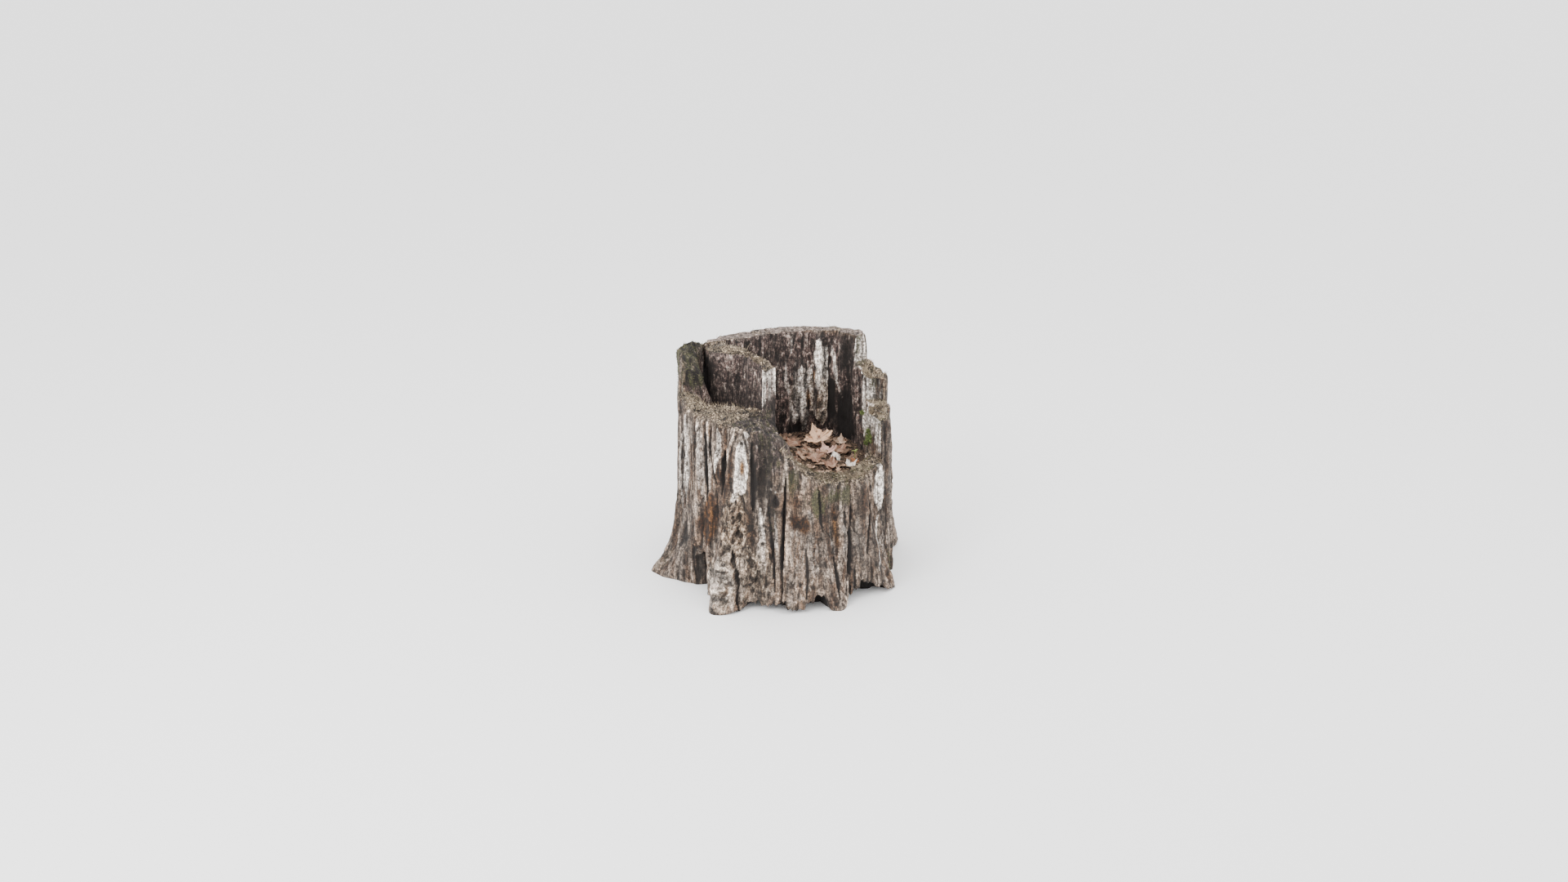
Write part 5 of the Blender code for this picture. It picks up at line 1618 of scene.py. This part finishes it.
def tube_grid(path, radii, sides):
    """A tube's places along a path, closed at both ends."""
    rows = []
    for index, place in enumerate(path):
        before = path[max(0, index - 1)]
        after = path[min(len(path) - 1, index + 1)]
        along = (after - before).normalized()
        across = along.cross(Vector((0.0, 0.1, 1.0))).normalized()
        if across.length < 0.5:
            across = Vector((1.0, 0.0, 0.0))
        upward = across.cross(along)
        row = []
        for side in range(sides + 1):
            turned = 2 * math.pi * (side % sides) / sides
            row.append(place + (across * math.cos(turned) + upward * math.sin(turned)) * radii[index])
        rows.append(row)
    first = [path[0]] * (sides + 1)
    last = [path[-1]] * (sides + 1)
    return np.array([[list(place) for place in row] for row in [first] + rows + [last]])


def build_twig(name, x, y, length, turned, thickness):
    """A short bent twig with swellings, where its solid lies."""
    path = []
    radii = []
    steps = 40
    for step in range(steps + 1):
        share = step / steps
        along = (share - 0.5) * length
        path.append(Vector((along, TWIG_BEND * math.sin(5.0 * share), 0.4 * TWIG_BEND * share**2)))
        swelling = 1.0 + 0.14 * math.sin(share * 31.0) + 0.16 * max(0.0, math.cos(share * 19.0)) ** 8
        radii.append(thickness * (0.5 - 0.22 * share) * swelling)
    laid = Matrix.Translation((x, y, 0.0)) @ Matrix.Rotation(math.radians(turned), 4, "Z")
    path = [laid @ place for place in path]
    places = tube_grid(path, radii, 14)
    places += 0.0004 * noise(places, 0.004, 0.004, 7)[..., None]
    places[:, -1] = places[:, 0]
    places[..., 2] += float(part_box(name)[0][2]) - places[..., 2].min()
    return grid_object(name + "_bark", places, {})


def build_seedling():
    """A stem with four seed leaves, where its solid stands."""
    ground = float(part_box("seedling")[0][2]) + SPROUT_DEPTH - SEAT_GAP
    foot = Vector((SPROUT_X, SPROUT_Y, ground - SPROUT_DEPTH))
    head = Vector((SPROUT_X, SPROUT_Y, ground + SPROUT_RISE))
    path = [foot.lerp(head, step / 10.0) for step in range(11)]
    radii = [SPROUT_RADIUS * (1.0 - 0.04 * step) for step in range(11)]
    stem = grid_object("seedling_stem", tube_grid(path, radii, 12), {})
    leaves = []
    for index in range(SPROUT_LEAVES):
        turned = math.radians(35 + 360 // SPROUT_LEAVES * index)
        length = SPROUT_LEAF * (1.0 - 0.25 * (index % 2))
        ahead = np.array([math.cos(turned), math.sin(turned), 0.0])
        across = np.array([-math.sin(turned), math.cos(turned), 0.0])
        base = np.array(head) + np.array([0.0, 0.0, -0.003 - 0.004 * (index % 2)])
        rows = []
        for u in np.linspace(0.0, 1.0, 11):
            half = 0.27 * math.sin(math.pi * min(1.0, 0.12 + 0.88 * u)) ** 0.8 + 0.03 * (1 - u)
            row = []
            for v in np.linspace(-1.0, 1.0, 9):
                cup = 0.0016 * v * v - 0.0005 * (abs(v) < 0.2)
                z = 0.006 * math.sin(2.2 * u) + cup + 0.001
                row.append(base + ahead * (u * length) + across * (v * half * length) + [0, 0, z])
            rows.append(row)
        leaf = grid_object("seedling_leaf_%d" % (index + 1), np.array(rows), {}, closed=False)
        thicken(leaf, SPROUT_BLADE)
        leaves.append(leaf)
    return stem, leaves


def surface_samples(piece, wanted, count, seed):
    """Places and directions on a piece, drawn more often where a weight is large."""
    mesh = piece.data
    total = len(mesh.vertices)
    places = np.empty(total * 3)
    normals = np.empty(total * 3)
    mesh.vertices.foreach_get("co", places)
    mesh.vertex_normals.foreach_get("vector", normals)
    places = places.reshape(-1, 3)
    normals = normals.reshape(-1, 3)
    weight = np.maximum(wanted(mesh, places, normals), 0.0)
    draw = np.random.default_rng(seed)
    picked = draw.choice(total, size=count, replace=False, p=weight / weight.sum())
    return places[picked], normals[picked], draw


def attribute_values(mesh, name):
    """The values of a mesh's float attribute."""
    values = np.empty(len(mesh.vertices), np.float32)
    mesh.attributes[name].data.foreach_get("value", values)
    return values


def build_spikes(name, spikes, sunk):
    """Thin pointed slivers, each a place, a direction, a length, a radius and a tone from 0 to 1.

    They are sunk a little into what they stand on, and made in batches, which is quicker.
    """
    whole = bmesh.new()
    for first in range(0, len(spikes), SPIKE_BATCH):
        batch = bmesh.new()
        tone_layer = batch.verts.layers.float.new("tone")
        for place, direction, length, radius, tone in spikes[first : first + SPIKE_BATCH]:
            direction = Vector(direction).normalized()
            turn_to = Vector((0.0, 0.0, 1.0)).rotation_difference(direction).to_matrix().to_4x4()
            middle = Vector(place) + direction * (0.5 * length - sunk)
            made = bmesh.ops.create_cone(
                batch, cap_ends=True, segments=3, radius1=radius, radius2=radius * 0.2, depth=length,
                matrix=Matrix.Translation(middle) @ turn_to,
            )
            for vertex in made["verts"]:
                vertex[tone_layer] = tone
        part = bpy.data.meshes.new("batch")
        batch.to_mesh(part)
        batch.free()
        whole.from_mesh(part)
        bpy.data.meshes.remove(part)
    return mesh_object(name, whole, smooth_faces=False)


def build_fibres(trunk, count):
    """Splinters and torn fibres that stand up along the broken rim."""

    def wanted(mesh, places, normals):
        frayed = attribute_values(mesh, "frayed")
        angle = np.degrees(np.arctan2(places[:, 0], -places[:, 1]))
        broken = 1.0 - sawn_share(angle)
        tufted = smooth(0.40 + 1.6 * noise(places, 0.030, 0.05, 7))
        return frayed**2 * np.clip(normals[:, 2], 0.0, 1.0) * (0.02 + broken) * (0.03 + tufted)

    places, normals, draw = surface_samples(trunk, wanted, count, 3)
    matted_x = 1.8 * noise(places, 0.06, 0.1, 81)
    matted_y = 1.8 * noise(places, 0.06, 0.1, 82)
    tones = 0.5 + 0.5 * noise(places, 0.02, 0.05, 83)
    spikes = []
    for index, (place, normal) in enumerate(zip(places, normals)):
        lean = draw.normal(0.0, 0.40, 3)
        lean[2] = 0.0
        direction = np.array([matted_x[index], matted_y[index], 0.55]) + 0.35 * normal + lean
        length = draw.uniform(*FIBRE_LENGTHS) * (1.8 if draw.random() < 0.10 else 1.0)
        tone = float(np.clip(tones[index] + draw.normal(0.0, 0.30), 0.0, 1.0))
        spikes.append((place, direction, length, draw.uniform(*FIBRE_RADII), tone))
    return build_spikes("torn_fibres", spikes, 0.003)


def build_moss(trunk, count):
    """Short moss shoots where the wood stays damp."""

    def wanted(mesh, places, normals):
        moss = attribute_values(mesh, "moss")
        dark = attribute_values(mesh, "dark")
        return np.clip(moss - 0.25, 0.0, 1.0) * (1.0 - 0.6 * dark) * (places[:, 2] > MOSS_FROM)

    places, normals, draw = surface_samples(trunk, wanted, count, 5)
    spikes = []
    for place, normal in zip(places, normals):
        direction = normal + np.array([0.0, 0.0, 0.5]) + draw.normal(0.0, 0.45, 3)
        length = draw.uniform(*MOSS_LENGTHS)
        spikes.append((place, direction, length, draw.uniform(*MOSS_RADII), draw.random()))
    return build_spikes("moss_shoots", spikes, 0.001)


def build_wall_moss():
    """The fresh green tufts that grow on the face of the right wall."""
    draw = random.Random(11)
    spikes = []
    for middle, reach, count in WALL_TUFTS:
        for _ in range(count):
            outward = Vector((draw.gauss(-0.35, 0.6), draw.gauss(-0.6, 0.6), draw.gauss(0.3, 0.6)))
            outward.normalize()
            place = Vector(middle) + outward * reach * draw.uniform(0.1, 1.0)
            spread = Vector((draw.gauss(0, 0.5), draw.gauss(0, 0.5), draw.gauss(0, 0.5)))
            length = draw.uniform(*TUFT_LENGTHS)
            spikes.append((place, outward + spread, length, draw.uniform(*TUFT_RADII), draw.random()))
    return build_spikes("wall_moss", spikes, 0.004)


def strewn(draw, reach):
    """A random place in plan on the humus, within a share of the hollow."""
    angle = draw.uniform(-180.0, 180.0)
    share = math.sqrt(draw.random()) * reach
    radius = float(curve_around(HOLLOW_OUTLINE, np.array(angle))) * share
    turned = math.radians(angle)
    return HOLLOW_X + radius * math.sin(turned), HOLLOW_Y - radius * math.cos(turned)


def build_crumbs(count):
    """Crumbs of rotted wood and bits of leaf, strewn on the humus."""
    draw = random.Random(21)
    bm = bmesh.new()
    for _ in range(count):
        x, y = strewn(draw, 0.97)
        size = draw.uniform(*CRUMB_SIZES)
        z = float(humus_over(np.array(x), np.array(y))) - 0.002 + 0.2 * size
        stretch = (draw.uniform(0.7, 2.2), draw.uniform(0.6, 1.2), draw.uniform(0.4, 0.9), 1.0)
        spin = Matrix.Rotation(draw.uniform(0, 6.28), 4, "Z")
        spin = spin @ Matrix.Rotation(draw.uniform(-0.6, 0.6), 4, "X")
        place = Matrix.Translation((x, y, z)) @ spin @ Matrix.Diagonal(stretch)
        bmesh.ops.create_icosphere(bm, subdivisions=1, radius=size, matrix=place)
    return mesh_object("wood_crumbs", bm, smooth_faces=False)


def build_scraps(count):
    """Torn scraps of old leaves that cover the humus, each with a tone of its own."""
    draw = random.Random(31)
    bm = bmesh.new()
    tone_layer = bm.verts.layers.float.new("tone")
    for _ in range(count):
        x, y = strewn(draw, 0.88)
        size = draw.uniform(*SCRAP_SIZES)
        tilt = draw.gauss(0.0, 0.35)
        z = float(humus_over(np.array(x), np.array(y))) + 0.002 + 0.4 * size * abs(math.sin(tilt))
        made = bmesh.ops.create_circle(bm, cap_ends=True, cap_tris=True, segments=12, radius=size)
        fold = draw.uniform(3.0, 18.0)
        tone = draw.random()
        for index, vertex in enumerate(made["verts"]):
            vertex[tone_layer] = tone
            vertex.co *= draw.uniform(0.45, 0.8) if index % 2 else draw.uniform(0.8, 1.25)
            vertex.co.x *= 0.75
            vertex.co.z = fold * vertex.co.x**2 + draw.uniform(-0.0008, 0.0008)
        spin = Matrix.Rotation(draw.uniform(0, 6.28), 4, "Z") @ Matrix.Rotation(tilt, 4, "X")
        bmesh.ops.transform(bm, matrix=Matrix.Translation((x, y, z)) @ spin, verts=made["verts"])
    made = mesh_object("leaf_scraps", bm)
    thicken(made, SCRAP_THICKNESS)
    return made


# What a user may change.


class StumpLooks(bpy.types.PropertyGroup):
    """Sizes and counts of the stump's finer detail."""

    relief: bpy.props.FloatProperty(
        name="Relief", description="Depth of the wood's fine relief, as a share",
        default=1.0, min=0.0, max=2.0,
    )
    fibres: bpy.props.IntProperty(
        name="Torn fibres", description="Splinters along the broken rim", default=5200, min=0, max=12000,
    )
    moss: bpy.props.IntProperty(
        name="Moss shoots", description="Shoots of moss on the damp wood", default=4500, min=0, max=12000,
    )
    crumbs: bpy.props.IntProperty(
        name="Crumbs", description="Crumbs on the humus", default=900, min=0, max=3000,
    )
    scraps: bpy.props.IntProperty(
        name="Leaf scraps", description="Torn scraps of leaf on the humus", default=240, min=0, max=600,
    )


class StumpStage(bpy.types.PropertyGroup):
    """The camera's distance and the floor."""

    distance: bpy.props.FloatProperty(
        name="Distance", description="From the camera to its target", default=7.02, min=1.0, unit="LENGTH",
    )
    elevation: bpy.props.FloatProperty(
        name="Elevation", description="Angle of the camera above the ground",
        default=math.radians(20.05), subtype="ANGLE",
    )
    floor: bpy.props.FloatVectorProperty(
        name="Floor", description="Colour of the studio floor", size=3, subtype="COLOR",
        default=linear(FLOOR_GREY),
    )


class STUMP_OT_wood(bpy.types.Operator):
    """Builds the weathered trunk, its torn fibres and its moss"""

    bl_idname = "stump.wood"
    bl_label = "Weathered Trunk"

    def execute(self, context):
        looks = context.scene.stump_looks
        trunk = build_wood(looks.relief)
        wood = material_once("wood", weathered_wood)
        finish_piece(trunk, wood, ("stump_wood",))
        fibres = build_fibres(trunk, looks.fibres)
        torn = material_once("fibres", lambda: toned("torn wood fibre", FIBRE_DARK, FIBRE_PALE))
        finish_piece(fibres, torn)
        green = material_once("moss", lambda: toned("olive moss", MOSS_DEEP, MOSS_OLIVE))
        finish_piece(build_moss(trunk, looks.moss), green)
        fresh = material_once("fresh", lambda: toned("fresh green moss", MOSS_FRESH_DEEP, MOSS_FRESH))
        finish_piece(build_wall_moss(), fresh)
        return {"FINISHED"}


class STUMP_OT_humus(bpy.types.Operator):
    """Builds the humus in the hollow, with crumbs and scraps on it"""

    bl_idname = "stump.humus"
    bl_label = "Humus"

    def execute(self, context):
        looks = context.scene.stump_looks
        soil = material_once("humus", crumbly_humus)
        finish_piece(build_humus(), soil, ("humus",))
        crumb = material_once(
            "crumb", lambda: plain_growth("rotted wood crumb", CRUMB_DARK, CRUMB_TAN, 14.0, 0.95)
        )
        finish_piece(build_crumbs(looks.crumbs), crumb)
        scrap = material_once("scrap", lambda: toned("old leaf scrap", SCRAP_DARK, SCRAP_TAN, 0.8))
        finish_piece(build_scraps(looks.scraps), scrap)
        return {"FINISHED"}


class STUMP_OT_leaves(bpy.types.Operator):
    """Lays the fallen leaves in the hollow"""

    bl_idname = "stump.leaves"
    bl_label = "Fallen Leaves"

    def execute(self, context):
        for index, (name, x, y, size, turned, tilt, curl, slot) in enumerate(LEAVES):
            leaf = build_leaf(name, x, y, size, turned, tilt, curl, index + 1)
            blade = LEAF_COLOURS.get(name, SLOT_COLOURS[slot])
            finish = material_once("leaf" + blade, lambda: dry_leaf("dry leaf " + blade[1:], blade))
            finish_piece(leaf, finish, (name,))
        return {"FINISHED"}


class STUMP_OT_twigs(bpy.types.Operator):
    """Lays the twigs in the hollow"""

    bl_idname = "stump.twigs"
    bl_label = "Twigs"

    def execute(self, context):
        bark = material_once("bark", lambda: plain_growth("dry twig bark", TWIG_DARK, TWIG_GREY, 5.0, 0.85))
        for twig in TWIGS:
            finish_piece(build_twig(*twig), bark, (twig[0],))
        return {"FINISHED"}


class STUMP_OT_seedling(bpy.types.Operator):
    """Plants the seedling in the humus"""

    bl_idname = "stump.seedling"
    bl_label = "Seedling"

    def execute(self, context):
        stem, leaves = build_seedling()
        green = material_once(
            "seedling", lambda: plain_growth("seedling green", SEEDLING_DEEP, SEEDLING_GREEN, 7.0, 0.5)
        )
        finish_piece(stem, green, ("seedling",))
        for leaf in leaves:
            finish_piece(leaf, green)
        return {"FINISHED"}


class STUMP_OT_stage(bpy.types.Operator):
    """Sets the floor, the soft studio lights and the camera"""

    bl_idname = "stump.stage"
    bl_label = "Studio Stage"

    def execute(self, context):
        stage = context.scene.stump_stage
        add_floor(stage.floor)
        add_lights()
        add_camera(stage.distance, stage.elevation)
        return {"FINISHED"}


def add_floor(colour):
    """A plain pale floor under the stump."""
    bm = bmesh.new()
    bmesh.ops.create_grid(bm, x_segments=2, y_segments=2, size=FLOOR_HALF)
    floor = mesh_object("studio_floor", bm)
    material, _, shader = new_material("pale studio floor", 0.9)
    shader.inputs["Base Color"].default_value = (*colour, 1.0)
    floor.data.materials.append(material)


def add_lights():
    """A white world, a soft key light from the front left, a weaker one from the right and one above."""
    world = bpy.data.worlds.new("studio_world")
    world.use_nodes = True
    background = world.node_tree.nodes["Background"]
    background.inputs["Color"].default_value = (1.0, 1.0, 1.0, 1.0)
    background.inputs["Strength"].default_value = WORLD_STRENGTH
    bpy.context.scene.world = world
    for name, place, size, power in LIGHTS:
        light = bpy.data.lights.new(name, "AREA")
        light.size = size
        light.energy = power
        lamp = bpy.data.objects.new(name, light)
        lamp.location = place
        aim = Vector(LIT_PLACE) - Vector(place)
        lamp.rotation_euler = aim.to_track_quat("-Z", "Y").to_euler()
        bpy.context.scene.collection.objects.link(lamp)


def add_camera(distance, elevation):
    """The camera at the photograph's place."""
    data = bpy.data.cameras.new("view_camera")
    data.sensor_width = 36.0
    data.lens = LENS_MM
    camera = bpy.data.objects.new("view_camera", data)
    target = Vector(TARGET)
    back = Vector((0.0, -math.cos(elevation), math.sin(elevation)))
    camera.location = target + back * distance
    camera.rotation_euler = (-back).to_track_quat("-Z", "Y").to_euler()
    bpy.context.scene.collection.objects.link(camera)
    bpy.context.scene.camera = camera


class STUMP_PT_panel(bpy.types.Panel):
    """Lists the stump's pieces in the sidebar"""

    bl_idname = "STUMP_PT_panel"
    bl_label = "Hollow Stump"
    bl_space_type = "VIEW_3D"
    bl_region_type = "UI"
    bl_category = "Stump"

    def draw(self, context):
        for group in (context.scene.stump_looks, context.scene.stump_stage):
            for key in group.__annotations__:
                self.layout.prop(group, key)
        for operator in OPERATORS:
            self.layout.operator(operator.bl_idname)


OPERATORS = (
    STUMP_OT_wood, STUMP_OT_humus, STUMP_OT_leaves, STUMP_OT_twigs, STUMP_OT_seedling, STUMP_OT_stage,
)
CLASSES = (StumpLooks, StumpStage) + OPERATORS + (STUMP_PT_panel,)


def register():
    for each in CLASSES:
        bpy.utils.register_class(each)
    bpy.types.Scene.stump_looks = bpy.props.PointerProperty(type=StumpLooks)
    bpy.types.Scene.stump_stage = bpy.props.PointerProperty(type=StumpStage)


def unregister():
    del bpy.types.Scene.stump_looks
    del bpy.types.Scene.stump_stage
    for each in reversed(CLASSES):
        bpy.utils.unregister_class(each)


def main():
    register()
    bpy.ops.stump.wood()
    bpy.ops.stump.humus()
    bpy.ops.stump.leaves()
    bpy.ops.stump.twigs()
    bpy.ops.stump.seedling()
    bpy.ops.stump.stage()


if __name__ == "__main__":
    main()
